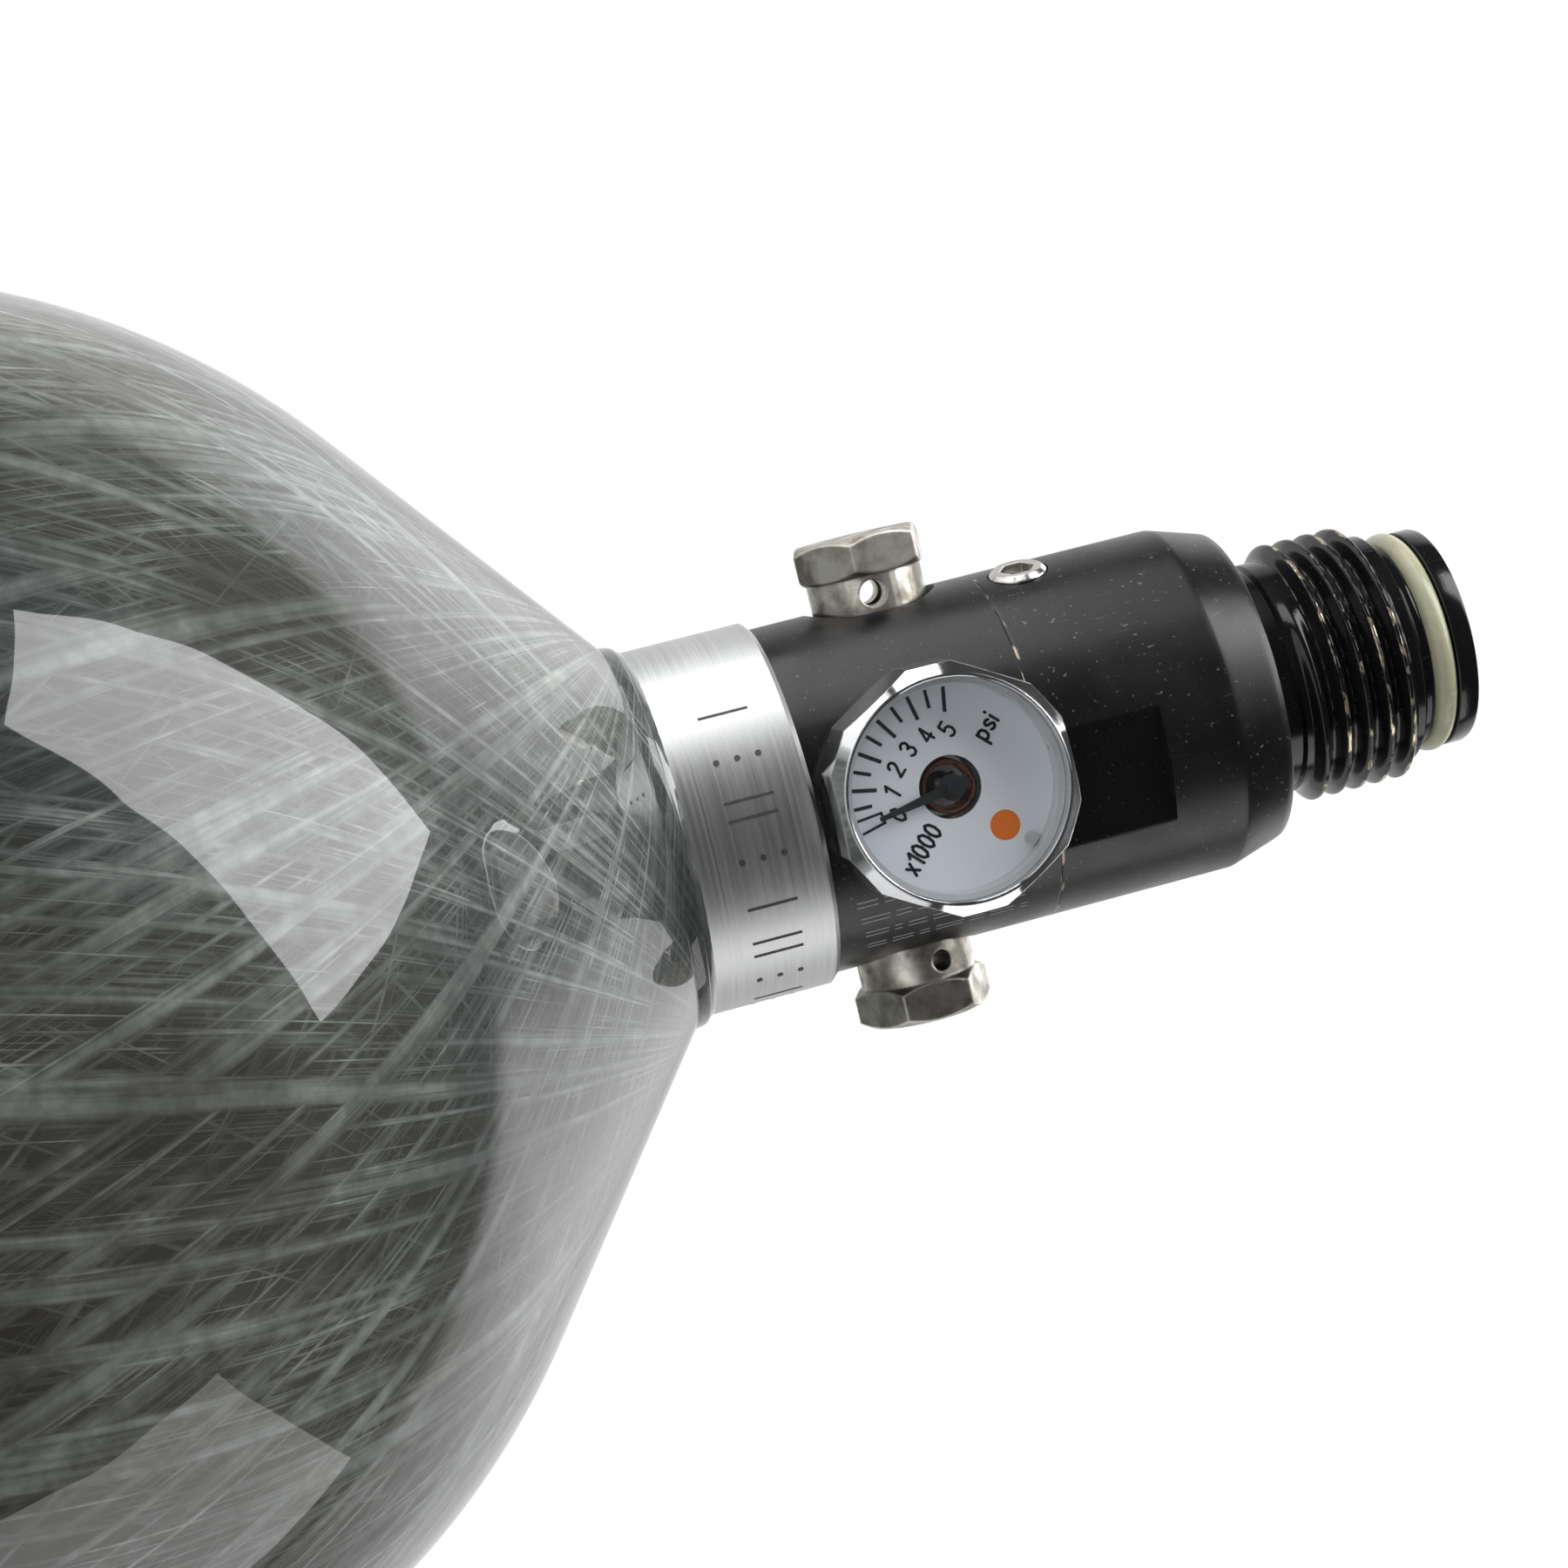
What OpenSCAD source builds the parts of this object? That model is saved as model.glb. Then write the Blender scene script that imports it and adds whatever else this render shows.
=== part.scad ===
// Compressed-air bottle with a screw-in preset regulator, standing on its closed end.
// Millimetres. The bottle's axis is +Z, the gauge faces -Y, the fill nipple faces +Y and
// the two burst plugs face -X and +X. Heights inside the regulator are counted from the
// neck root, the ring where the fibre wrap ends on the neck, and add neck_root_z.

/* [Bottle] */
// Outer diameter of the wrapped bottle
bottle_d = 115; // [100:1:140]
// Height of the neck root above the base
bottle_len = 200; // [170:1:320]
// Thickness of the fibre wrap on the straight part
wrap_t = 4.4; // [3:0.1:7]
// Wall of the aluminium liner
liner_t = 2.6; // [2:0.1:4]
// Diameter of the flat that the bottle stands on
base_flat_d = 40; // [30:1:48]
// Diameter of the turned neck
neck_d = 29.3; // [27:0.1:32]
// Length of the neck above the wrap
neck_len = 10.5; // [7:0.1:16]
// Major diameter of the neck thread, 5/8 inch
neck_thread_d = 15.88; // [15.5:0.01:16.4]

/* [Regulator] */
// Outer diameter of the regulator body and bonnet
reg_d = 27.9; // [27:0.1:32]
// Height of the body's visible barrel
body_len = 18.05; // [17:0.05:24]
// Height of the bonnet's straight barrel
bonnet_len = 15.35; // [14:0.05:22]
// Height of the chamfer in front of the bonnet's barrel
bonnet_chamfer_len = 4.35; // [3:0.05:6]
// Diameter of the bonnet's front face
bonnet_face_d = 25.2; // [22:0.1:27]
// Depth of the two wrench flats
wrench_flat_depth = 0.8; // [0.4:0.1:1.2]
// Height of the wrench flats above the seam
wrench_flat_len = 9.5; // [7:0.1:12]

/* [Outlet] */
// Major diameter of the outlet thread, 0.825 inch
outlet_thread_d = 20.955; // [20:0.001:22]
// Pitch of the outlet thread, 14 turns to the inch
outlet_pitch = 1.814; // [1.5:0.001:2.2]
// Full crests on the outlet thread
outlet_crests = 5; // [4:1:6]
// Diameter of the stem between the thread and the seal
stem_d = 16.8; // [16.2:0.1:17.4]
// Diameter of the end land in front of the seal
stem_land_d = 17.7; // [17:0.1:18.5]
// Length of the stem from the front face to the tip
nose_len = 17.4; // [16.5:0.1:21]

/* [Moving parts] */
// Travel of the outlet valve pin
pin_travel = 2.0; // [1.5:0.1:2.4]
// Travel of the piston from open to shut
piston_travel = 0.8; // [0.5:0.1:1.2]
// Travel of the fill check poppet
check_travel = 1.8; // [1:0.1:2]
// Diametral clearance of a moving part in its bore
slide_gap = 0.1; // [0.04:0.01:0.16]

/* [Gauge] */
// Height of the gauge axis above the neck root
gauge_height = 20; // [19:0.1:21]
// Across the flats of the gauge case
gauge_flats = 18; // [17:0.1:20]
// Distance of the case's back from the bottle's axis
gauge_back = 14.2; // [14.1:0.1:17]
// Depth of the gauge case
gauge_depth = 6.6; // [6:0.1:9]
// Diameter of the opening in front of the lens
gauge_opening_d = 16.7; // [15:0.1:16.8]

/* [Ports] */
// Height of the high-pressure burst plug above the neck root
high_plug_height = 20.7; // [19.5:0.1:21]
// Height of the low-pressure burst plug above the neck root
low_plug_height = 17.6; // [17:0.1:20]
// Across the flats of the burst plugs, 3/8 inch
plug_flats = 9.525; // [9:0.005:10]
// Height of a burst plug's hexagon
plug_hex_len = 3.1; // [2.6:0.1:4]
// Across the flats of the fill nipple's hexagon
nipple_flats = 12.7; // [11:0.1:14]

/* [Hidden] */

smooth = 96;      // facets round turned parts
fine = 48;        // facets round small parts
fit = 0.05;       // radial gap of a threaded or seated pair
touch = 0.02;     // gap that keeps a seal just clear of its groove
eps = 0.01;       // how far a cut runs past a face
through = 60;     // longer than anything that a cut goes through

// Bottle
bottle_r = bottle_d / 2;
neck_r = neck_d / 2;
wrap_angle = 51.2;                       // the shoulder cone's angle from the axis
dome_steps = 20;
base_flat_r = base_flat_d / 2;
neck_root_z = bottle_len;
shoulder_r = bottle_r * cos(wrap_angle); // where the cone leaves the dome
shoulder_up = bottle_r * sin(wrap_angle);
lip_r = neck_r + 0.75;
lip_drop = 1.2;
cone_up = (shoulder_r - lip_r) / tan(wrap_angle);
top_centre_z = neck_root_z - lip_drop - cone_up - shoulder_up;
base_centre_z = sqrt(pow(bottle_r, 2) - pow(base_flat_r, 2));
liner_r = bottle_r - wrap_t;
liner_in_r = liner_r - liner_t;
base_wrap_t = 3.2;
neck_bore_r = neck_thread_d / 2 + fit;
neck_top_z = neck_root_z + neck_len;
gauge_z = neck_root_z + gauge_height;

// Neck seal
neck_cord = 1.56;
neck_seat_r = 10.2;
neck_seat_depth = 1.6;

// Regulator body, heights in the bottle's frame
reg_r = reg_d / 2;
seam_z = neck_top_z + body_len;
thread_foot_z = neck_root_z - 9;
spigot_r = 11;
spigot_len = 8;
spigot_top_z = seam_z + spigot_len;
stem_bore_r = 4.55;
low_riser_x = 9.25;
low_riser_r = 0.5;
spring_bore_r = 8.4;
spring_floor_z = seam_z + 2.2;
nozzle_z = gauge_z + 1.5;
nozzle_r = 3.4;
nozzle_len = 3;
inlet_bore_r = 1.6;
filter_r = 4;
filter_len = 2.5;

// Bonnet
bonnet_top_z = seam_z + bonnet_len;
face_z = bonnet_top_z + bonnet_chamfer_len;
tip_z = face_z + nose_len;
face_r = bonnet_face_d / 2;
piston_bore_r = 9;
bonnet_shelf_z = spigot_top_z + 0.5;
chamber_top_z = bonnet_shelf_z + 9;
thread_r = outlet_thread_d / 2;
thread_depth = 1.1;
thread_root_r = thread_r - thread_depth;
crest_land = 0.3;
undercut_r = 9.1;
undercut_len = 2.2;
crest_start_z = face_z + undercut_len + 1.9;
thread_top_z = crest_start_z + outlet_crests * outlet_pitch - outlet_pitch / 2;
stem_r = stem_d / 2;
land_r = stem_land_d / 2;
land_len = 1.7;
seal_cord = 1.9;
seal_r = 9.05 - seal_cord / 2;
seal_z = tip_z - land_len - seal_cord / 2 - touch;
seal_groove_r = seal_r - seal_cord / 2 - touch;
flat_x = reg_r - wrench_flat_depth;
flat_turn = -76.7;
screw_turn = 195.7;
screw_z = seam_z + 3.5;
screw_r = 2.3;

// Outlet valve
valve_bore_r = 3.3;
valve_floor_z = chamber_top_z + 1.6;
guide_r = 4.2;
guide_len = 6;
guide_z = tip_z - 0.4 - guide_len;
pin_r = 1.6;
pin_head_r = 2.7;
pin_head_len = 1.5;
pin_proud = pin_travel + 0.4;
pin_seal_cord = 0.8;
pin_head_z = guide_z - pin_seal_cord - 2 * touch - pin_head_len;
valve_wire = 0.5;
valve_spring_r = 2.2;
valve_turns = 6;

// Piston
piston_r = piston_bore_r - slide_gap / 2;
piston_head_len = 4;
piston_top_z = chamber_top_z - fit;
piston_head_z = piston_top_z - piston_head_len;
piston_stem_r = stem_bore_r - slide_gap / 2;
nozzle_top_z = nozzle_z + nozzle_len + 0.4;
seat_len = 1.4;
seat_r = 2.2;
piston_foot_z = nozzle_top_z + piston_travel + touch;
piston_foot_r = 3.5;
piston_foot_len = 3.2;
cross_hole_z = piston_foot_z + 2.3;
low_cross_z = nozzle_top_z + 1.4;
stem_seal_z = spring_floor_z - 1.2;
head_seal_z = piston_head_z + 2;
shim_t = 0.4;
washer_count = 6;
washer_t = 0.5;
washer_in_r = piston_stem_r + 0.3;
washer_out_r = spring_bore_r - 0.35;

// Gauge, distances out from the bottle's axis
gauge_front = gauge_back + gauge_depth;
gauge_r = gauge_flats / 2;
gauge_corner_r = gauge_r / cos(19.5);
gauge_bevel = 0.4;
gauge_open_r = gauge_opening_d / 2;
gauge_wall = 1.3;
dial_face = gauge_front - 3.05;
dial_t = 0.3;
hub_r = 2.4;
lens_t = 0.8;
lens_back = gauge_front - 0.35 - lens_t;
port_r = 4.9;
port_in = 6.5;
spot_r = 6.6;
post_r = 1.6;
coil_wire = 0.36;
coil_turns = 3;
needle_len = 5.9;
needle_back = dial_face + 0.35;
needle_t = 0.25;
scale_zero = 190;       // where the needle points with the bottle empty
plug_turn = -46;

// Burst plugs
plug_thread_r = 3.9;
plug_in = 8.3;
plug_seat = 13.05;
plug_spot_r = 5.3;
plug_shoulder_r = 4.6;
plug_shoulder_len = 3.0;
plug_bore_r = 1.7;
disc_t = 0.25;
gasket_t = 0.8;
port_floor = plug_in - gasket_t - disc_t - 2 * touch;

// Fill nipple
nipple_seat = 13.2;
nipple_hex_len = 4.6;
nipple_barrel_r = 4.75;
nipple_groove_r = 3.9;
nipple_tip_r = 4.3;
nipple_bore_r = 2.3;
nipple_len = 18;
nipple_out = nipple_seat + nipple_len;
poppet_r = nipple_bore_r - slide_gap / 2;
poppet_len = 3.2;
poppet_out = nipple_out - 2.2;
check_floor = nipple_seat + 3.4;
check_wire = 0.45;
check_turns = 6;

// points on an arc in the (radius, height) plane
function arc(r, h, a0, a1, steps) =
    [for (i = [0 : steps]) let (a = a0 + (a1 - a0) * i / steps) [r * cos(a), h + r * sin(a)]];

// turns a shape drawn along +Z so that it points outward at a height
module outward(turn, height) {
    translate([0, 0, height]) rotate([0, 0, turn]) rotate([0, 90, 0]) rotate([0, 0, 180]) children();
}
module toward_gauge() { outward(-90, gauge_z) children(); }
module toward_fill() { outward(90, gauge_z) children(); }
module toward_high_plug() { outward(180, neck_root_z + high_plug_height) children(); }
module toward_low_plug() { outward(0, neck_root_z + low_plug_height) children(); }

module rod(r, from, to, facets = smooth) {
    translate([0, 0, from]) cylinder(r = r, h = to - from, $fn = facets);
}
module tube(r_out, r_in, from, to, facets = smooth) {
    difference() {
        rod(r_out, from, to, facets);
        rod(r_in, from - eps, to + eps, facets);
    }
}
module ring(r, cord, z, facets = smooth) {
    translate([0, 0, z]) rotate_extrude($fn = facets) translate([r, 0]) circle(d = cord, $fn = 32);
}
// hexagonal prism with both ends turned to a cone
module chamfered_hex(flats, from, to, facets = fine) {
    r = flats / 2;
    corner = r / cos(30);
    cut = (corner - r) * 0.75;
    intersection() {
        translate([0, 0, from]) cylinder(r = corner, h = to - from, $fn = 6);
        rotate_extrude($fn = facets)
            polygon([[0, from], [r - 0.1, from], [corner, from + cut], [corner, to - cut],
                [r - 0.1, to], [0, to]]);
    }
}
// round wire wound as a helix about +Z
module coil(r, wire, from, to, turns, sides = 6, steps = 14) {
    rings = turns * steps;
    low = from + wire / 2;
    rise = to - from - wire;
    points = [for (i = [0 : rings]) for (j = [0 : sides - 1])
        let (a = 360 * turns * i / rings, b = 360 * j / sides, d = r + wire / 2 * cos(b))
        [d * cos(a), d * sin(a), low + rise * i / rings + wire / 2 * sin(b)]];
    walls = [for (i = [0 : rings - 1]) for (j = [0 : sides - 1]) for (half = [0, 1])
        let (k = (j + 1) % sides, a = i * sides + j, b = i * sides + k,
            c = (i + 1) * sides + k, d = (i + 1) * sides + j)
        half == 0 ? [a, c, b] : [a, d, c]];
    ends = [[for (j = [0 : sides - 1]) j], [for (j = [sides - 1 : -1 : 0]) rings * sides + j]];
    polyhedron(points, concat(walls, ends));
}

module bottle_overwrap() {
    color([0.16, 0.17, 0.17]) rotate_extrude($fn = smooth) difference() {
        polygon(concat(
            [[0, 0]],
            arc(bottle_r, base_centre_z, -acos(base_flat_r / bottle_r), 0, dome_steps),
            arc(bottle_r, top_centre_z, 0, wrap_angle, dome_steps),
            [[lip_r, neck_root_z - lip_drop], [lip_r - 0.25, neck_root_z - 0.1],
                [neck_r, neck_root_z], [0, neck_root_z]]));
        liner_outline();
    }
}
module liner_outline() {
    base_r = sqrt(pow(liner_r, 2) - pow(base_centre_z - base_wrap_t, 2));
    polygon(concat(
        [[0, base_wrap_t]],
        arc(liner_r, base_centre_z, -acos(base_r / liner_r), 0, dome_steps),
        arc(liner_r, top_centre_z, 0, acos(neck_r / liner_r), dome_steps),
        [[neck_r, neck_top_z - 0.4], [neck_r - 0.4, neck_top_z], [0, neck_top_z]]));
}
module bottle_liner() {
    base_r = sqrt(pow(liner_in_r, 2) - pow(base_centre_z - base_wrap_t - liner_t, 2));
    color([0.78, 0.79, 0.8]) rotate_extrude($fn = smooth) difference() {
        liner_outline();
        polygon(concat(
            [[0, base_wrap_t + liner_t]],
            arc(liner_in_r, base_centre_z, -acos(base_r / liner_in_r), 0, dome_steps),
            arc(liner_in_r, top_centre_z, 0, acos(neck_bore_r / liner_in_r), dome_steps),
            [[neck_bore_r, neck_top_z - neck_seat_depth], [neck_seat_r, neck_top_z - neck_seat_depth],
                [neck_seat_r, neck_top_z + eps], [0, neck_top_z + eps]]));
    }
}
module neck_oring() {
    color([0.08, 0.08, 0.08])
        ring(neck_seat_r - neck_cord / 2 - touch, neck_cord, neck_top_z - neck_seat_depth / 2);
}

module regulator_body() {
    color([0.13, 0.13, 0.14]) difference() {
        union() {
            rod(neck_thread_d / 2, thread_foot_z, neck_top_z + eps);
            rod(reg_r, neck_top_z, seam_z);
            rod(spigot_r, seam_z - eps, spigot_top_z);
        }
        rod(filter_r, thread_foot_z - eps, thread_foot_z + filter_len);
        rod(inlet_bore_r, thread_foot_z, nozzle_z + eps, fine);
        rod(nozzle_r + fit, nozzle_z, nozzle_z + nozzle_len + eps);
        rod(stem_bore_r, nozzle_z + nozzle_len, spring_floor_z + eps);
        rod(spring_bore_r, spring_floor_z, spigot_top_z + eps);
        // groove for the seal below the bonnet's skirt
        tube(reg_r, spigot_r - 1, seam_z + 5.5, seam_z + 7);
        toward_gauge() {
            rod(port_r, port_in, reg_r + eps);
            rod(spot_r, gauge_back - 1.8, through);
            rod(1, 0, port_in + eps, fine);
        }
        toward_fill() {
            rod(port_r, port_in, reg_r + eps);
            rod(nipple_flats / 2 / cos(30) + 0.3, nipple_seat, through);
            rod(1, 0, port_in + eps, fine);
        }
        toward_high_plug() {
            rod(plug_thread_r + fit, port_floor, reg_r + eps, fine);
            rod(plug_spot_r, plug_seat, through);
            rod(0.9, 0, port_floor + eps, fine);
        }
        toward_low_plug() {
            rod(plug_thread_r + fit, port_floor, reg_r + eps, fine);
            rod(plug_spot_r, plug_seat, through);
        }
        // low-pressure passage from the burst plug up to the gas past the nozzle
        translate([low_riser_x, 0, 0])
            rod(low_riser_r, neck_root_z + low_plug_height, low_cross_z + low_riser_r, 24);
        outward(0, low_cross_z) rod(low_riser_r, 0, low_riser_x, 24);
    }
}
module inlet_filter() {
    color([0.6, 0.45, 0.3]) rod(filter_r - fit, thread_foot_z, thread_foot_z + filter_len - fit, fine);
}
module inlet_nozzle() {
    color([0.75, 0.6, 0.3]) difference() {
        union() {
            rod(nozzle_r, nozzle_z + touch, nozzle_z + nozzle_len, fine);
            rod(1.5, nozzle_z + nozzle_len - eps, nozzle_top_z, fine);
        }
        rod(0.8, nozzle_z - 1, nozzle_top_z + eps, fine);
    }
}
module piston() {
    color([0.75, 0.76, 0.78]) difference() {
        union() {
            rod(piston_foot_r, piston_foot_z, piston_foot_z + piston_foot_len + eps, fine);
            rod(piston_stem_r, piston_foot_z + piston_foot_len, piston_head_z + eps);
            rod(piston_r, piston_head_z, piston_top_z);
        }
        rod(seat_r + fit, piston_foot_z - eps, piston_foot_z + seat_len + fit, fine);
        rod(1.1, cross_hole_z, piston_top_z + eps, fine);
        // the cross hole that lets gas into the hollow stem
        translate([0, 0, cross_hole_z]) rotate([90, 0, 0])
            cylinder(r = 0.6, h = 2 * reg_r, center = true, $fn = 24);
        tube(piston_r + 1, piston_r - 1.6, head_seal_z - 0.85, head_seal_z + 0.85);
        tube(piston_stem_r + 1, piston_stem_r - 0.95, stem_seal_z - 0.5, stem_seal_z + 0.5);
    }
}
module piston_seat() {
    color([0.9, 0.9, 0.85]) rod(seat_r, piston_foot_z, piston_foot_z + seat_len, fine);
}
module piston_head_oring() {
    color([0.08, 0.08, 0.08]) ring(piston_r - 0.8, 1.5, head_seal_z);
}
module piston_stem_oring() {
    color([0.08, 0.08, 0.08]) ring(piston_stem_r - 0.5, 0.85, stem_seal_z, fine);
}
module pressure_shim() {
    color([0.7, 0.7, 0.72])
        tube(washer_out_r, washer_in_r, spring_floor_z, spring_floor_z + shim_t);
}
module spring_washers() {
    low = spring_floor_z + shim_t + touch;
    pitch = (piston_head_z - touch - low) / washer_count;
    drop = pitch - washer_t - touch;
    color([0.62, 0.63, 0.66]) for (i = [0 : washer_count - 1])
        translate([0, 0, low + i * pitch]) rotate_extrude($fn = fine) {
            inner_up = i % 2 == 0 ? drop : 0;
            outer_up = drop - inner_up;
            polygon([[washer_in_r, inner_up], [washer_out_r, outer_up],
                [washer_out_r, outer_up + washer_t], [washer_in_r, inner_up + washer_t]]);
        }
}
module body_oring() {
    color([0.08, 0.08, 0.08]) ring(spigot_r - 0.5 - touch, 0.94, seam_z + 6.25);
}

module bonnet_outline() {
    polygon(concat(
        [[0, seam_z], [reg_r - 0.15, seam_z], [reg_r, seam_z + 0.15], [reg_r, bonnet_top_z],
            [face_r, face_z], [undercut_r, face_z], [undercut_r, face_z + undercut_len],
            [thread_root_r, face_z + undercut_len + 0.3]],
        [for (i = [0 : outlet_crests - 1]) let (z = crest_start_z + (i - 0.25) * outlet_pitch)
            each [[thread_root_r, z - outlet_pitch * 0.42], [thread_r, z - crest_land / 2],
                [thread_r, z + crest_land / 2], [thread_root_r, z + outlet_pitch * 0.42]]],
        [[thread_root_r, thread_top_z], [stem_r, thread_top_z + 0.8],
            [stem_r, seal_z - seal_cord / 2 - touch], [seal_groove_r, seal_z - seal_cord / 2 - touch],
            [seal_groove_r, seal_z + seal_cord / 2 + touch],
            [land_r, seal_z + seal_cord / 2 + touch], [land_r, tip_z - 0.3], [land_r - 0.3, tip_z],
            [0, tip_z]]));
}
module bonnet() {
    color([0.13, 0.13, 0.14]) difference() {
        rotate_extrude($fn = smooth) bonnet_outline();
        rod(spigot_r + fit, seam_z - eps, bonnet_shelf_z);
        rod(piston_bore_r, bonnet_shelf_z - eps, chamber_top_z);
        rod(1.6, chamber_top_z - eps, valve_floor_z + eps, fine);
        rod(valve_bore_r, valve_floor_z, guide_z + eps, fine);
        rod(guide_r + fit, guide_z, tip_z + eps);
        for (side = [0, 180]) rotate([0, 0, flat_turn + side])
            translate([flat_x, -reg_r, seam_z - eps]) cube([reg_r, 2 * reg_r, wrench_flat_len]);
        outward(screw_turn, screw_z) rod(screw_r + fit, 0, through, fine);
    }
}
module bonnet_set_screw() {
    foot = spigot_r + fit + touch;
    head = reg_r + 0.35;
    color([0.72, 0.71, 0.68]) outward(screw_turn, screw_z) difference() {
        rotate_extrude($fn = fine) polygon([[0, foot], [1.6, foot], [screw_r, foot + 0.6],
            [screw_r, head - 0.35], [screw_r - 0.35, head], [0, head]]);
        translate([0, 0, head - 1.5]) cylinder(r = 1.25 / cos(30), h = 2, $fn = 6);
    }
}
module outlet_oring() {
    color([0.82, 0.85, 0.72]) ring(seal_r, seal_cord, seal_z);
}
module valve_guide() {
    color([0.7, 0.58, 0.32]) difference() {
        rod(guide_r, guide_z + touch, guide_z + guide_len);
        rod(pin_r + slide_gap / 2, guide_z - 1, tip_z + 1, fine);
        for (turn = [0 : 120 : 240]) rotate([0, 0, turn]) translate([2.9, 0, 0])
            rod(0.55, guide_z - 1, tip_z + 1, 24);
    }
}
module valve_pin() {
    color([0.75, 0.76, 0.78]) {
        rod(pin_head_r, pin_head_z, pin_head_z + pin_head_len, fine);
        rod(pin_r, pin_head_z, tip_z + pin_proud - 0.3, fine);
        translate([0, 0, tip_z + pin_proud - 0.3]) cylinder(r1 = pin_r, r2 = pin_r - 0.3, h = 0.3, $fn = fine);
    }
}
module valve_pin_oring() {
    color([0.08, 0.08, 0.08])
        ring(pin_r + touch + pin_seal_cord / 2, pin_seal_cord, guide_z - touch - pin_seal_cord / 2, fine);
}
module valve_spring() {
    color([0.7, 0.71, 0.73])
        coil(valve_spring_r, valve_wire, valve_floor_z + touch, pin_head_z - touch, valve_turns);
}

module gauge_case() {
    color([0.8, 0.81, 0.82]) toward_gauge() difference() {
        intersection() {
            translate([0, 0, gauge_back]) linear_extrude(gauge_depth)
                polygon([for (i = [0 : 5]) for (side = [-19.5, 19.5])
                    gauge_corner_r * [cos(60 * i + side), sin(60 * i + side)]]);
            rotate_extrude($fn = smooth) polygon([[0, gauge_back], [gauge_r - 0.2, gauge_back],
                [gauge_r + 1, gauge_back + 1.2], [gauge_r + 1, gauge_front - gauge_bevel - 1],
                [gauge_r, gauge_front - gauge_bevel], [gauge_r - gauge_bevel, gauge_front],
                [0, gauge_front]]);
        }
        rod(gauge_open_r, gauge_back + gauge_wall, gauge_front + eps);
        rod(2.5, gauge_back - eps, gauge_back + gauge_wall + eps, fine);
    }
}
module gauge_stem() {
    color([0.8, 0.81, 0.82]) toward_gauge() difference() {
        union() {
            rod(port_r - fit, port_in + touch, gauge_back - 1);
            rod(spot_r - 0.3, gauge_back - 1.7, gauge_back - touch);
            rod(2.5 - touch, gauge_back - 1, gauge_back + gauge_wall, fine);
            rod(post_r, gauge_back, gauge_back + gauge_wall + 0.4, fine);
        }
        rod(0.5, 0, gauge_back + gauge_wall + 0.2, 24);
    }
}
module gauge_bourdon_coil() {
    color([0.72, 0.42, 0.25]) toward_gauge()
        coil(hub_r - 0.5, coil_wire, gauge_back + gauge_wall + 0.1, dial_face - dial_t - 0.05,
            coil_turns, 6, 20);
}
module gauge_dial() {
    color([0.85, 0.87, 0.9]) toward_gauge() tube(gauge_open_r - 0.1, hub_r, dial_face - dial_t, dial_face);
}
module gauge_needle() {
    color([0.2, 0.2, 0.2]) toward_gauge() {
        rod(0.45, gauge_back + gauge_wall + 0.6, needle_back + needle_t + 0.3, fine);
        rod(1, needle_back, needle_back + needle_t, fine);
        rotate([0, 0, scale_zero]) translate([0, 0, needle_back]) linear_extrude(needle_t)
            polygon([[-1.4, -0.5], [-1.4, 0.5], [needle_len, 0.16], [needle_len, -0.16]]);
    }
}
module gauge_spacer_ring() {
    color([0.5, 0.52, 0.5]) toward_gauge()
        tube(gauge_open_r - touch, gauge_open_r - 0.5, dial_face + touch, lens_back - touch);
}
module gauge_lens() {
    color([0.9, 0.95, 1, 0.3]) toward_gauge() rod(gauge_open_r - touch, lens_back, lens_back + lens_t);
}
module gauge_relief_plug() {
    color([0.62, 0.6, 0.5]) toward_gauge() rotate([0, 0, plug_turn]) translate([gauge_open_r - 1.1, 0, 0])
        rod(0.5, dial_face, dial_face + 0.5, 24);
}

// a burst plug, drawn along +Z from the bottle's axis
module burst_plug(vent_r, vent_turn, hex_turn) {
    hex_from = plug_seat + plug_shoulder_len;
    difference() {
        union() {
            rod(plug_thread_r, plug_in, plug_seat + 0.5, fine);
            rod(plug_shoulder_r, plug_seat + touch, hex_from + eps, fine);
            rotate([0, 0, hex_turn]) chamfered_hex(plug_flats, hex_from, hex_from + plug_hex_len);
        }
        rod(plug_bore_r, plug_in - eps, plug_seat + 1.6 + vent_r, fine);
        translate([0, 0, plug_seat + 1.6]) rotate([0, 0, vent_turn]) rotate([90, 0, 0])
            cylinder(r = vent_r, h = 4 * plug_shoulder_r, center = true, $fn = fine);
    }
}
module burst_disc() {
    rod(plug_thread_r - 0.1, plug_in - disc_t - touch, plug_in - touch, fine);
}
module burst_gasket() {
    tube(plug_thread_r - 0.1, plug_bore_r, port_floor + touch, port_floor + touch + gasket_t - touch, fine);
}
module high_pressure_burst_plug() {
    color([0.72, 0.7, 0.66]) toward_high_plug() burst_plug(1.05, -5, 14);
}
module high_pressure_burst_disc() {
    color([0.75, 0.5, 0.3]) toward_high_plug() burst_disc();
}
module high_pressure_burst_gasket() {
    color([0.9, 0.9, 0.88]) toward_high_plug() burst_gasket();
}
module low_pressure_burst_plug() {
    color([0.72, 0.7, 0.66]) toward_low_plug() burst_plug(0.85, -17, 57);
}
module low_pressure_burst_disc() {
    color([0.75, 0.5, 0.3]) toward_low_plug() burst_disc();
}
module low_pressure_burst_gasket() {
    color([0.9, 0.9, 0.88]) toward_low_plug() burst_gasket();
}

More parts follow.
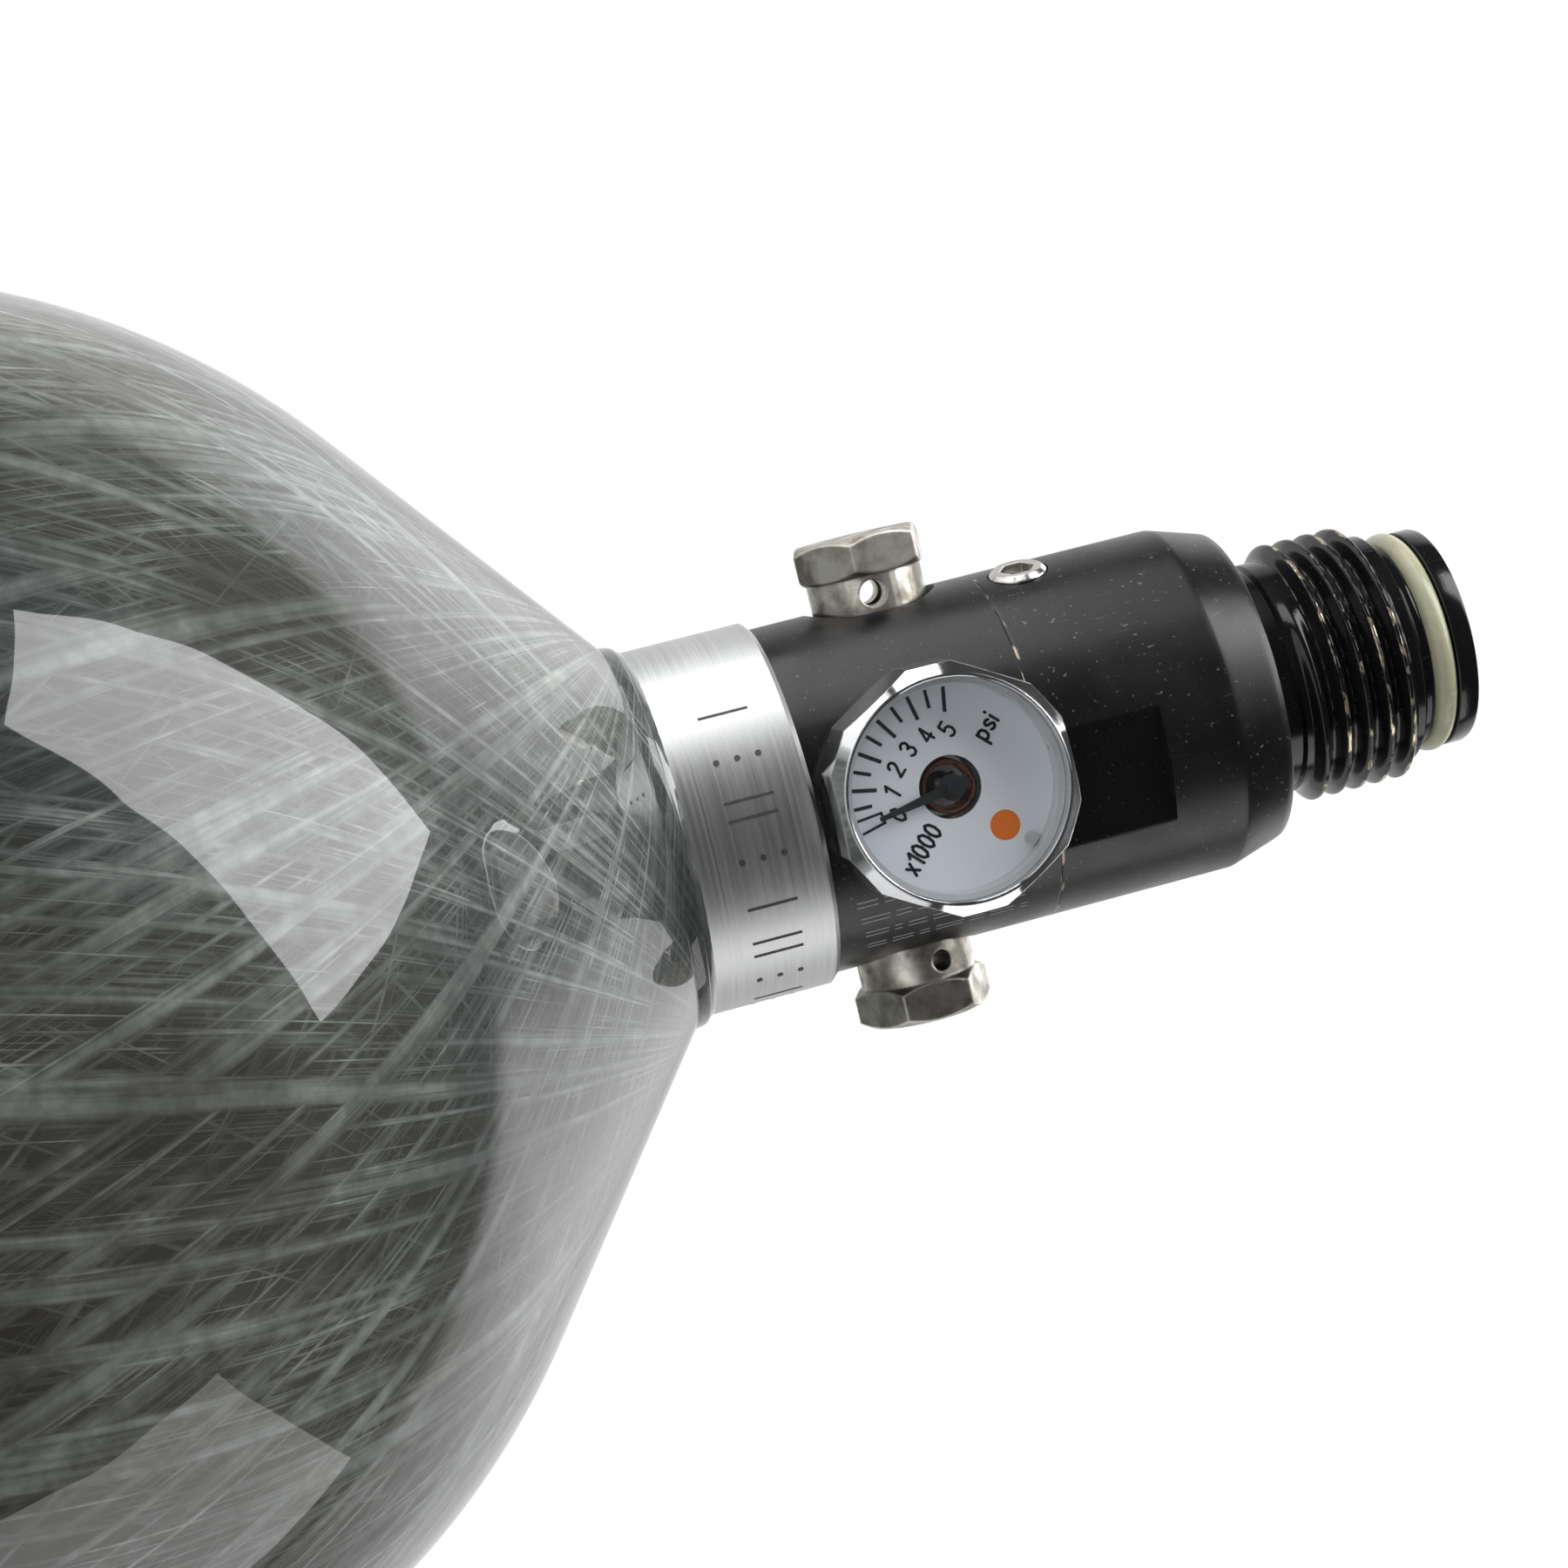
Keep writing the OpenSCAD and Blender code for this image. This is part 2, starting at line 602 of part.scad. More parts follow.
module fill_nipple() {
    hex_from = nipple_seat + 0.9;
    neck_from = hex_from + nipple_hex_len;
    color([0.74, 0.73, 0.7]) toward_fill() difference() {
        union() {
            rod(port_r - fit, port_in + touch, hex_from + eps, fine);
            chamfered_hex(nipple_flats, hex_from, neck_from);
            rotate_extrude($fn = smooth) polygon([[0, neck_from - eps],
                [nipple_barrel_r, neck_from - eps], [nipple_barrel_r, nipple_out - 7.2],
                [nipple_groove_r, nipple_out - 6.4], [nipple_groove_r, nipple_out - 4.6],
                [nipple_barrel_r, nipple_out - 3.8], [nipple_barrel_r, nipple_out - 2.6],
                [nipple_tip_r, nipple_out - 0.6], [nipple_tip_r - 0.6, nipple_out],
                [0, nipple_out]]);
        }
        rod(1, 0, check_floor + eps, fine);
        rod(nipple_bore_r, check_floor, poppet_out + 1.1, fine);
        rod(1.4, check_floor, through, fine);
    }
}
module fill_nipple_oring() {
    color([0.08, 0.08, 0.08]) toward_fill() ring(port_r + 0.55, 0.86, nipple_seat + 0.45);
}
module fill_check_poppet() {
    color([0.75, 0.6, 0.3]) toward_fill() {
        rod(poppet_r, poppet_out - poppet_len, poppet_out, fine);
        rod(0.9, poppet_out - eps, poppet_out + 1.5, fine);
    }
}
module fill_check_oring() {
    color([0.08, 0.08, 0.08]) toward_fill()
        ring(0.9 + touch + 0.45, 0.9, poppet_out + 0.45 + touch, fine);
}
module fill_check_spring() {
    color([0.7, 0.71, 0.73]) toward_fill()
        coil(1.7, check_wire, check_floor + touch, poppet_out - poppet_len - touch, check_turns);
}

bottle_overwrap();
bottle_liner();
neck_oring();
regulator_body();
inlet_filter();
inlet_nozzle();
piston();
piston_seat();
piston_head_oring();
piston_stem_oring();
pressure_shim();
spring_washers();
body_oring();
bonnet();
bonnet_set_screw();
outlet_oring();
valve_guide();
valve_pin();
valve_pin_oring();
valve_spring();
gauge_case();
gauge_stem();
gauge_bourdon_coil();
gauge_dial();
gauge_needle();
gauge_spacer_ring();
gauge_lens();
gauge_relief_plug();
high_pressure_burst_plug();
high_pressure_burst_disc();
high_pressure_burst_gasket();
low_pressure_burst_plug();
low_pressure_burst_disc();
low_pressure_burst_gasket();
fill_nipple();
fill_nipple_oring();
fill_check_poppet();
fill_check_oring();
fill_check_spring();
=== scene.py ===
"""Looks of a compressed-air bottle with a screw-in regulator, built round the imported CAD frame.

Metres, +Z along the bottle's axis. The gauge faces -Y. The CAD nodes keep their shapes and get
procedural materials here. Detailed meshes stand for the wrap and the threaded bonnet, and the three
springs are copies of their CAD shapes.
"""
import math

import bpy
import numpy as np
from mathutils import Matrix, Vector


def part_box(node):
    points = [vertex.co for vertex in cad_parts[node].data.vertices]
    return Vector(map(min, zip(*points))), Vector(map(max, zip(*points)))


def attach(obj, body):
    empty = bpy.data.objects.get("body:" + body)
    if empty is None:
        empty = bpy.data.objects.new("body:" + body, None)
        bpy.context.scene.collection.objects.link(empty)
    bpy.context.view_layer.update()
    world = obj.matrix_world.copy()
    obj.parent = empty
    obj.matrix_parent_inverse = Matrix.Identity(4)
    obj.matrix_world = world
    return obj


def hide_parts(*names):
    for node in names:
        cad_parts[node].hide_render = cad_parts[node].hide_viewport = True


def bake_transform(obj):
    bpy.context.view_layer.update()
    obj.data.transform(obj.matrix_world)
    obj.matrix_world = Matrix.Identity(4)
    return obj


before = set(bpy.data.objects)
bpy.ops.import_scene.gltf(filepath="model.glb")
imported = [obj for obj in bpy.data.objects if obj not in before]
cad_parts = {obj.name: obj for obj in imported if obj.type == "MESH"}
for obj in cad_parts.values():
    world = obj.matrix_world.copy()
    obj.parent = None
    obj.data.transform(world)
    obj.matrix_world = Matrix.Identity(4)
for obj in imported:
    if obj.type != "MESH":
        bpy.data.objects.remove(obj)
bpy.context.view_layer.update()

MM = 0.001

# ---------------------------------------------------------------- sizes, in millimetres

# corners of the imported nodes
wrap_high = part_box("bottle_overwrap")[1] / MM
bonnet_low, bonnet_high = (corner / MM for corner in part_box("bonnet"))
case_low, case_high = (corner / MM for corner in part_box("gauge_case"))
dial_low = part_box("gauge_dial")[0] / MM

# bottle: its wrap, shoulder and neck
bottle_r = wrap_high.x
neck_root_z = wrap_high.z
neck_r = 14.65
neck_top_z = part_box("bottle_liner")[1].z / MM
base_flat_r = 20
shoulder_angle = math.radians(51.2)
wrap_t = 4.4
base_wrap_t = 3.2
lip_r = neck_r + 0.75
lip_drop = 1.2

# bonnet: its barrel, chamfer and the undercut before the thread
reg_r = bonnet_high.x
seam_z = bonnet_low.z
bonnet_top_z = seam_z + 15.35
face_z = bonnet_top_z + 4.35
tip_z = bonnet_high.z
face_r = 12.6
undercut_r = 9.1
undercut_len = 2.2

# outlet thread
pitch = 1.814
thread_r = 10.4775
thread_root_r = 9.3775
crest_start_z = face_z + undercut_len + 1.9
crests = 5
thread_start_z = face_z + undercut_len + 0.3
thread_top_z = crest_start_z + (crests - 0.38) * pitch

# stem, seal groove and land at the outlet's tip
stem_r = 8.4
land_r = 8.85
land_len = 1.7
seal_cord = 1.9
seal_groove_r = 7.13
seal_high_z = tip_z - land_len
seal_low_z = seal_high_z - seal_cord - 0.04

# wrench flats and set screw
flat_turn = math.radians(-76.7)
flat_distance = 13.15
flat_len = 9.5
screw_turn = math.radians(195.7)
screw_z = seam_z + 3.5
screw_hole_r = 2.42

# gauge
gauge_z = (case_low.z + case_high.z) / 2
dial_out = -dial_low.y


# ---------------------------------------------------------------- mesh tools

def add_mesh(name, points, faces, body, material, sharp=32):
    """A named piece from points in millimetres, riding on a body."""
    mesh = bpy.data.meshes.new(name)
    mesh.from_pydata([tuple(p) for p in np.asarray(points, float) * MM], [], faces)
    mesh.validate()
    mesh.polygons.foreach_set("use_smooth", [True] * len(mesh.polygons))
    mesh.set_sharp_from_angle(angle=math.radians(sharp))
    mesh.materials.append(material)
    piece = bpy.data.objects.new(name, mesh)
    bpy.context.scene.collection.objects.link(piece)
    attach(piece, body)
    return piece


def revolve(profile, columns, shape=None, closed=False):
    """Points and faces of a profile of (radius, height) turned about Z; shape may change a radius."""
    turn = np.linspace(-math.pi, math.pi, columns, endpoint=False)
    points, rings = [], []
    for radius, height in profile:
        if radius < 1e-6:
            rings.append([len(points)])
            points.append((0, 0, height))
            continue
        radii = np.full(columns, float(radius)) if shape is None else shape(turn, radius, height)
        rings.append(range(len(points), len(points) + columns))
        points += list(zip(radii * np.cos(turn), radii * np.sin(turn), [height] * columns))
    faces = []
    pairs = list(zip(rings, rings[1:])) + ([(rings[-1], rings[0])] if closed else [])
    for low, high in pairs:
        for i in range(columns):
            k = (i + 1) % columns
            if len(low) == 1:
                faces.append((low[0], high[k], high[i]))
            elif len(high) == 1:
                faces.append((low[i], low[k], high[0]))
            else:
                faces.append((low[i], low[k], high[k], high[i]))
    return points, faces


def arc(radius, centre_z, start, end, steps):
    """Points (radius, height) on an arc about a centre on the axis, angles in radians."""
    return [(radius * math.cos(a), centre_z + radius * math.sin(a))
            for a in np.linspace(start, end, steps + 1)]


def line(start, end, steps):
    """Points between two (radius, height) points, without the last."""
    return [(start[0] + (end[0] - start[0]) * i / steps, start[1] + (end[1] - start[1]) * i / steps)
            for i in range(steps)]


def set_point_values(piece, name, values):
    """Stores one number per vertex for the material to read."""
    piece.data.attributes.new(name, "FLOAT", "POINT").data.foreach_set(
        "value", np.asarray(values, np.float32))


# ---------------------------------------------------------------- material tools

def put(tree, kind, inputs=None, **settings):
    """Adds a node; an input is a number, a colour or another node's output."""
    made = tree.nodes.new(kind)
    for key, value in settings.items():
        setattr(made, key, value)
    for key, value in (inputs or {}).items():
        if isinstance(value, bpy.types.NodeSocket):
            tree.links.new(value, made.inputs[key])
        else:
            made.inputs[key].default_value = value
    return made


def math_node(tree, operation, *values):
    """Output of a Math node."""
    return put(tree, "ShaderNodeMath", dict(enumerate(values)), operation=operation).outputs[0]


def mix_colours(tree, factor, low, high):
    """Output of a colour mix."""
    return put(tree, "ShaderNodeMix", {0: factor, 6: low, 7: high}, data_type="RGBA").outputs[2]


def ramp(tree, value, low, high, out_low=0.0, out_high=1.0):
    """A value stretched and clamped between two levels."""
    made = put(tree, "ShaderNodeMapRange",
               {"Value": value, "From Min": low, "From Max": high, "To Min": out_low, "To Max": out_high})
    return made.outputs[0]


def noise_of(tree, vector, scale, detail=3.0, roughness=0.55):
    """Output of a noise texture."""
    made = put(tree, "ShaderNodeTexNoise", {"Vector": vector, "Scale": scale, "Detail": detail,
                                            "Roughness": roughness})
    return made.outputs[0]


def colour(r, g, b):
    """An opaque colour."""
    return (r, g, b, 1.0)


def new_material(name):
    """A material with its tree, its Principled shader and the object's own coordinates."""
    material = bpy.data.materials.new(name)
    material.use_nodes = True
    tree = material.node_tree
    place = put(tree, "ShaderNodeTexCoord").outputs["Object"]
    return material, tree, tree.nodes["Principled BSDF"], place


def stretched(tree, place, x, y, z):
    """Coordinates scaled along each axis."""
    return put(tree, "ShaderNodeMapping", {"Vector": place, "Scale": (x, y, z)}).outputs[0]


def bump(tree, height, strength, distance, normal=None):
    """Normal from a height."""
    inputs = {"Height": height, "Strength": strength, "Distance": distance}
    if normal is not None:
        inputs["Normal"] = normal
    return put(tree, "ShaderNodeBump", inputs).outputs[0]


def edge_mask(tree, radius):
    """Rounded-edge normal, and how far it turns from the true normal."""
    rounded = put(tree, "ShaderNodeBevel", {"Radius": radius}, samples=4).outputs[0]
    true_normal = put(tree, "ShaderNodeNewGeometry").outputs["Normal"]
    match = put(tree, "ShaderNodeVectorMath", {0: rounded, 1: true_normal}, operation="DOT_PRODUCT")
    return rounded, math_node(tree, "SUBTRACT", 1.0, match.outputs["Value"])


# ---------------------------------------------------------------- materials

def winding(tree, turn, layer, sign, across, length, detail):
    """Streaks thin across the fibre and long along it; sign is the way the fibre turns."""
    drift = put(tree, "ShaderNodeAttribute", attribute_name=layer + "_drift").outputs["Fac"]
    run = put(tree, "ShaderNodeAttribute", attribute_name=layer + "_run").outputs["Fac"]
    angle = math_node(tree, "MULTIPLY_ADD", drift, sign, turn)
    apart = 3.1
    vector = put(tree, "ShaderNodeCombineXYZ", {
        "X": math_node(tree, "COSINE", angle), "Y": math_node(tree, "SINE", angle),
        "Z": math_node(tree, "MULTIPLY_ADD", run, length, sign * apart)}).outputs[0]
    return noise_of(tree, vector, across, detail, 0.6)


def crossed(tree, turn, layer, across, length, low, high, detail=3.0):
    """The brighter of two windings that cross, stretched between two levels."""
    right = winding(tree, turn, layer, 1.0, across, length, detail)
    left = winding(tree, turn, layer, -1.0, across * 1.15, length, detail)
    return ramp(tree, math_node(tree, "MAXIMUM", right, left), low, high)


def glass_streaks(tree, turn):
    """Pale glass fibres, from broad bands down to single hairs."""
    bands = crossed(tree, turn, "polar", 9.0, 0.22, 0.44, 0.66)
    tows = crossed(tree, turn, "polar", 24.0, 0.08, 0.50, 0.66)
    fine = crossed(tree, turn, "polar", 75.0, 0.05, 0.53, 0.70)
    hairs = crossed(tree, turn, "polar", 210.0, 0.022, 0.66, 0.80, 1.0)
    wide = crossed(tree, turn, "wide", 60.0, 0.07, 0.58, 0.76)
    streaks = math_node(tree, "MULTIPLY", fine, math_node(tree, "MULTIPLY_ADD", bands, 0.75, 0.25))
    for layer, share in ((tows, 0.6), (wide, 0.45), (hairs, 0.8)):
        streaks = math_node(tree, "MAXIMUM", streaks, math_node(tree, "MULTIPLY", layer, share))
    return streaks


def fibre_wrap():
    """Clear-coated glass and carbon fibre, wound in crossing helices that turn round the neck."""
    material, tree, shader, place = new_material("fibre_wrap")
    xyz = put(tree, "ShaderNodeSeparateXYZ", {0: place}).outputs
    turn = math_node(tree, "ARCTAN2", xyz["Y"], xyz["X"])
    streaks = glass_streaks(tree, turn)
    clouds = noise_of(tree, place, 34.0, 4.0)
    grain = noise_of(tree, place, 620.0, 4.0)
    brown = noise_of(tree, place, 21.0, 1.0)
    toward_neck = ramp(tree, xyz["Z"], 0.125, 0.192)

    base = ramp(tree, clouds, 0.42, 0.68, 0.0, 0.08)
    pale = math_node(tree, "MULTIPLY", math_node(tree, "MULTIPLY_ADD", streaks, 0.66, base),
                     ramp(tree, grain, 0.32, 0.68, 0.6, 1.3))
    pale = math_node(tree, "MULTIPLY", pale, ramp(tree, clouds, 0.38, 0.58, 0.3, 1.0))
    gain = math_node(tree, "MULTIPLY_ADD", toward_neck, 0.55, 0.55)
    amount = math_node(tree, "MULTIPLY_ADD", pale, gain, math_node(tree, "MULTIPLY", toward_neck, 0.07))
    dark = mix_colours(tree, ramp(tree, brown, 0.45, 0.62), colour(0.009, 0.011, 0.010),
                       colour(0.024, 0.020, 0.014))
    paint = mix_colours(tree, amount, dark, colour(0.50, 0.55, 0.52))
    tree.links.new(paint, shader.inputs["Base Color"])
    tree.links.new(ramp(tree, clouds, 0.3, 0.7, 0.34, 0.5), shader.inputs["Roughness"])
    ripple = noise_of(tree, place, 48.0, 2.0)
    tree.links.new(bump(tree, streaks, 0.12, 0.0001), shader.inputs["Normal"])
    tree.links.new(bump(tree, ripple, 0.6, 0.0003), shader.inputs["Coat Normal"])
    shader.inputs["Specular IOR Level"].default_value = 0.08
    shader.inputs["Coat Weight"].default_value = 1.0
    shader.inputs["Coat Roughness"].default_value = 0.02
    shader.inputs["Coat IOR"].default_value = 1.52
    return material


def black_anodised():
    """Satin black anodising with dust, fine turning lines and bright worn edges."""
    material, tree, shader, place = new_material("body_anodised")
    lines = noise_of(tree, stretched(tree, place, 60, 60, 9000), 1.0, 2.0)
    grain = noise_of(tree, place, 5200.0, 2.0)
    patches = noise_of(tree, place, 190.0, 4.0)
    dust = ramp(tree, noise_of(tree, place, 2600.0, 1.0), 0.70, 0.76)
    paint = mix_colours(tree, patches, colour(0.004, 0.004, 0.005), colour(0.008, 0.008, 0.009))
    paint = mix_colours(tree, math_node(tree, "MULTIPLY", dust, 0.30), paint, colour(0.25, 0.25, 0.25))
    rounded, edge = edge_mask(tree, 0.00012)
    rub = noise_of(tree, place, 1100.0, 4.0)
    worn = math_node(tree, "MULTIPLY", ramp(tree, edge, 0.04, 0.14), ramp(tree, rub, 0.56, 0.62))
    paint = mix_colours(tree, worn, paint, colour(0.66, 0.58, 0.44))
    height = math_node(tree, "MULTIPLY_ADD", lines, 0.6, grain)
    tree.links.new(paint, shader.inputs["Base Color"])
    tree.links.new(worn, shader.inputs["Metallic"])
    tree.links.new(ramp(tree, patches, 0.3, 0.7, 0.26, 0.38), shader.inputs["Roughness"])
    tree.links.new(bump(tree, height, 0.10, 0.00004, rounded), shader.inputs["Normal"])
    shader.inputs["Specular IOR Level"].default_value = 0.42
    return material


def bonnet_finish():
    """The bonnet's anodising: satin on the barrel, glossier on the thread, rubbed through on crests."""
    material, tree, shader, place = new_material("bonnet_anodised")
    wear = put(tree, "ShaderNodeAttribute", attribute_name="wear").outputs["Fac"]
    gloss = put(tree, "ShaderNodeAttribute", attribute_name="gloss").outputs["Fac"]
    grain = noise_of(tree, place, 5200.0, 2.0)
    lines = noise_of(tree, stretched(tree, place, 60, 60, 9000), 1.0, 2.0)
    patches = noise_of(tree, place, 190.0, 4.0)
    scuffs = noise_of(tree, stretched(tree, place, 2600, 2600, 350), 1.0, 3.0)
    dust = ramp(tree, noise_of(tree, place, 2600.0, 1.0), 0.70, 0.76)
    paint = mix_colours(tree, patches, colour(0.004, 0.004, 0.005), colour(0.008, 0.008, 0.009))
    specks = math_node(tree, "MULTIPLY", dust, math_node(tree, "SUBTRACT", 0.4, math_node(
        tree, "MULTIPLY", gloss, 0.3)))
    paint = mix_colours(tree, specks, paint, colour(0.25, 0.25, 0.25))
    scratched = ramp(tree, scuffs, 0.68, 0.74, 0.0, 0.12)
    paint = mix_colours(tree, scratched, paint, colour(0.3, 0.3, 0.3))
    rub = noise_of(tree, stretched(tree, place, 420, 420, 900), 1.0, 5.0)
    worn = math_node(tree, "MULTIPLY", wear, ramp(tree, rub, 0.52, 0.60))
    paint = mix_colours(tree, worn, paint, colour(0.70, 0.60, 0.44))
    satin = ramp(tree, patches, 0.3, 0.7, 0.26, 0.38)
    rough = math_node(tree, "MULTIPLY", satin, math_node(tree, "SUBTRACT", 1.0, math_node(
        tree, "MULTIPLY", gloss, 0.55)))
    height = math_node(tree, "MULTIPLY_ADD", lines, 0.6, grain)
    tree.links.new(paint, shader.inputs["Base Color"])
    tree.links.new(worn, shader.inputs["Metallic"])
    tree.links.new(rough, shader.inputs["Roughness"])
    tree.links.new(bump(tree, height, 0.10, 0.00004), shader.inputs["Normal"])
    shader.inputs["Specular IOR Level"].default_value = 0.42
    return material


def turned_aluminium():
    """Bright lathe-turned aluminium with fine rings about the axis."""
    material, tree, shader, place = new_material("turned_aluminium")
    rings = noise_of(tree, stretched(tree, place, 18, 18, 5200), 1.0, 3.0, 0.7)
    scratches = noise_of(tree, stretched(tree, place, 130, 130, 8000), 1.0, 2.0)
    stains = noise_of(tree, place, 160.0, 3.0)
    paint = mix_colours(tree, rings, colour(0.45, 0.455, 0.46), colour(0.76, 0.765, 0.77))
    paint = mix_colours(tree, ramp(tree, stains, 0.60, 0.80, 0.0, 0.18), paint, colour(0.42, 0.42, 0.41))
    height = math_node(tree, "MULTIPLY_ADD", scratches, 0.5, rings)
    tree.links.new(paint, shader.inputs["Base Color"])
    tree.links.new(ramp(tree, rings, 0.3, 0.7, 0.34, 0.44), shader.inputs["Roughness"])
    tree.links.new(bump(tree, height, 0.22, 0.00003), shader.inputs["Normal"])
    shader.inputs["Metallic"].default_value = 1.0
    shader.inputs["Anisotropic"].default_value = 0.6
    return material


def plated(name, clean, dull, rough_low, rough_high, edge_radius, tarnish=0.5):
    """Plated metal with dull patches on its faces and brighter rubbed edges."""
    material, tree, shader, place = new_material(name)
    rounded, edge = edge_mask(tree, edge_radius)
    patches = noise_of(tree, place, 420.0, 4.0)
    fine = noise_of(tree, place, 3800.0, 3.0)
    rubbed = ramp(tree, edge, 0.01, 0.10)
    dirt = math_node(tree, "MULTIPLY", ramp(tree, patches, 0.38, 0.62, 1.0 - tarnish, 1.0),
                     math_node(tree, "SUBTRACT", 1.0, rubbed))
    paint = mix_colours(tree, dirt, clean, dull)
    tree.links.new(paint, shader.inputs["Base Color"])
    tree.links.new(ramp(tree, patches, 0.3, 0.7, rough_low, rough_high), shader.inputs["Roughness"])
    tree.links.new(bump(tree, fine, 0.06, 0.00002, rounded), shader.inputs["Normal"])
    shader.inputs["Metallic"].default_value = 1.0
    return material


def plain_metal(name, light, dark, rough, scale=900.0):
    """Bare metal with faint mottling."""
    material, tree, shader, place = new_material(name)
    mottle = noise_of(tree, place, scale, 3.0)
    tree.links.new(mix_colours(tree, mottle, dark, light), shader.inputs["Base Color"])
    tree.links.new(ramp(tree, mottle, 0.3, 0.7, rough - 0.06, rough + 0.06), shader.inputs["Roughness"])
    tree.links.new(bump(tree, mottle, 0.1, 0.00003), shader.inputs["Normal"])
    shader.inputs["Metallic"].default_value = 1.0
    return material


def moulded(name, light, dark, rough, translucency=0.0, scale=1500.0):
    """Rubber or plastic with a fine moulded grain."""
    material, tree, shader, place = new_material(name)
    mottle = noise_of(tree, place, scale, 3.0)
    broad = noise_of(tree, place, scale / 6, 2.0)
    tree.links.new(mix_colours(tree, broad, dark, light), shader.inputs["Base Color"])
    tree.links.new(ramp(tree, broad, 0.3, 0.7, rough - 0.05, rough + 0.08), shader.inputs["Roughness"])
    tree.links.new(bump(tree, mottle, 0.08, 0.00003), shader.inputs["Normal"])
    if translucency:
        shader.inputs["Subsurface Weight"].default_value = translucency
        shader.inputs["Subsurface Scale"].default_value = 0.0012
    return material


def clear_lens():
    """Clear polycarbonate, which shows as a faint mirror over the dial."""
    material, tree, shader, place = new_material("clear_lens")
    haze = noise_of(tree, place, 160.0, 2.0)
    tree.links.new(ramp(tree, haze, 0.3, 0.7, 0.03, 0.08), shader.inputs["Roughness"])
    shader.inputs["Base Color"].default_value = colour(0.95, 0.97, 1.0)
    shader.inputs["Metallic"].default_value = 1.0
    shader.inputs["Alpha"].default_value = 0.07
    return material


def resin():
    """Dark glossy resin where the wrap ends on the neck."""
    material, tree, shader, place = new_material("resin")
    mottle = noise_of(tree, place, 500.0, 3.0)
    tree.links.new(mix_colours(tree, mottle, colour(0.03, 0.033, 0.032), colour(0.22, 0.24, 0.23)),
                   shader.inputs["Base Color"])
    tree.links.new(ramp(tree, mottle, 0.3, 0.7, 0.08, 0.2), shader.inputs["Roughness"])
    shader.inputs["Coat Weight"].default_value = 1.0
    return material


# ---------------------------------------------------------------- wrap

def wrap_profile():
    """Outer line of the wrap from the base's centre to the neck, in (radius, height)."""
    base_centre_z = math.sqrt(bottle_r ** 2 - base_flat_r ** 2)
    cone_r = bottle_r * math.cos(shoulder_angle)
    cone_up = (cone_r - lip_r) / math.tan(shoulder_angle)
    top_centre_z = neck_root_z - lip_drop - cone_up - bottle_r * math.sin(shoulder_angle)
    outer = [(0, 0)] + line((3, 0), (base_flat_r, 0), 6)
    outer += arc(bottle_r, base_centre_z, -math.acos(base_flat_r / bottle_r), 0, 60)
    outer += line((bottle_r, base_centre_z + 1.5), (bottle_r, top_centre_z - 1.5), 44)
    outer += arc(bottle_r, top_centre_z, 0, shoulder_angle, 60)[:-1]
    outer += line((cone_r, top_centre_z + bottle_r * math.sin(shoulder_angle)),
                  (lip_r, neck_root_z - lip_drop), 48)
    lip = [(lip_r, neck_root_z - lip_drop), (lip_r - 0.06, neck_root_z - 0.55),
           (lip_r - 0.22, neck_root_z - 0.18), (lip_r - 0.45, neck_root_z - 0.03), (neck_r, neck_root_z)]
    return outer + lip, base_centre_z, top_centre_z


def wrap_inside(base_centre_z, top_centre_z):
    """Inner line of the wrap from the neck back to the base's centre."""
    liner_r = bottle_r - wrap_t
    foot_r = math.sqrt(liner_r ** 2 - (base_centre_z - base_wrap_t) ** 2)
    inside = arc(liner_r, top_centre_z, math.acos(neck_r / liner_r), 0, 24)
    inside += arc(liner_r, base_centre_z, 0, -math.acos(foot_r / liner_r), 24)
    return inside + [(foot_r / 2, base_wrap_t), (0, base_wrap_t)]


def drift_along(profile, polar_r):
    """Turn and length of a fibre tangent to a ring of polar_r, up to each profile point."""
    drift, run = [0.0], [0.0]
    for (r0, z0), (r1, z1) in zip(profile, profile[1:]):
        middle = max((r0 + r1) / 2, 1.0)
        slant = min(polar_r / middle, 0.96)
        length = math.hypot(r1 - r0, z1 - z0) / math.sqrt(1 - slant ** 2)
        drift.append(drift[-1] + length * slant / middle)
        run.append(run[-1] + length / 100)
    return drift, run


def build_wrap(material):
    """The wrap as one closed shell; each vertex carries how far the fibres have turned there."""
    columns = 256
    outer, base_centre_z, top_centre_z = wrap_profile()
    profile = outer + wrap_inside(base_centre_z, top_centre_z)
    points, faces = revolve(profile, columns)
    piece = add_mesh("wound_wrap", points, faces, "root", material)
    for layer, polar_r in (("polar", neck_r), ("wide", 34)):
        for name, values in zip(("drift", "run"), drift_along(profile, polar_r)):
            spread = []
            for (radius, _), value in zip(profile, values):
                spread += [value] * (1 if radius < 1e-6 else columns)
            set_point_values(piece, f"{layer}_{name}", spread)
    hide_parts("bottle_overwrap")
    return piece


def build_resin_ring(material):
    """A thin bead of resin that closes the wrap onto the neck."""
    bead = [(neck_r - 0.02, neck_root_z - 0.15), (neck_r + 0.30, neck_root_z - 0.05),
            (neck_r + 0.24, neck_root_z + 0.12), (neck_r + 0.12, neck_root_z + 0.30),
            (neck_r - 0.02, neck_root_z + 0.48)]
    points, faces = revolve(bead, 192, closed=True)
    return add_mesh("resin_bead", points, faces, "root", material, 60)


# ---------------------------------------------------------------- bonnet

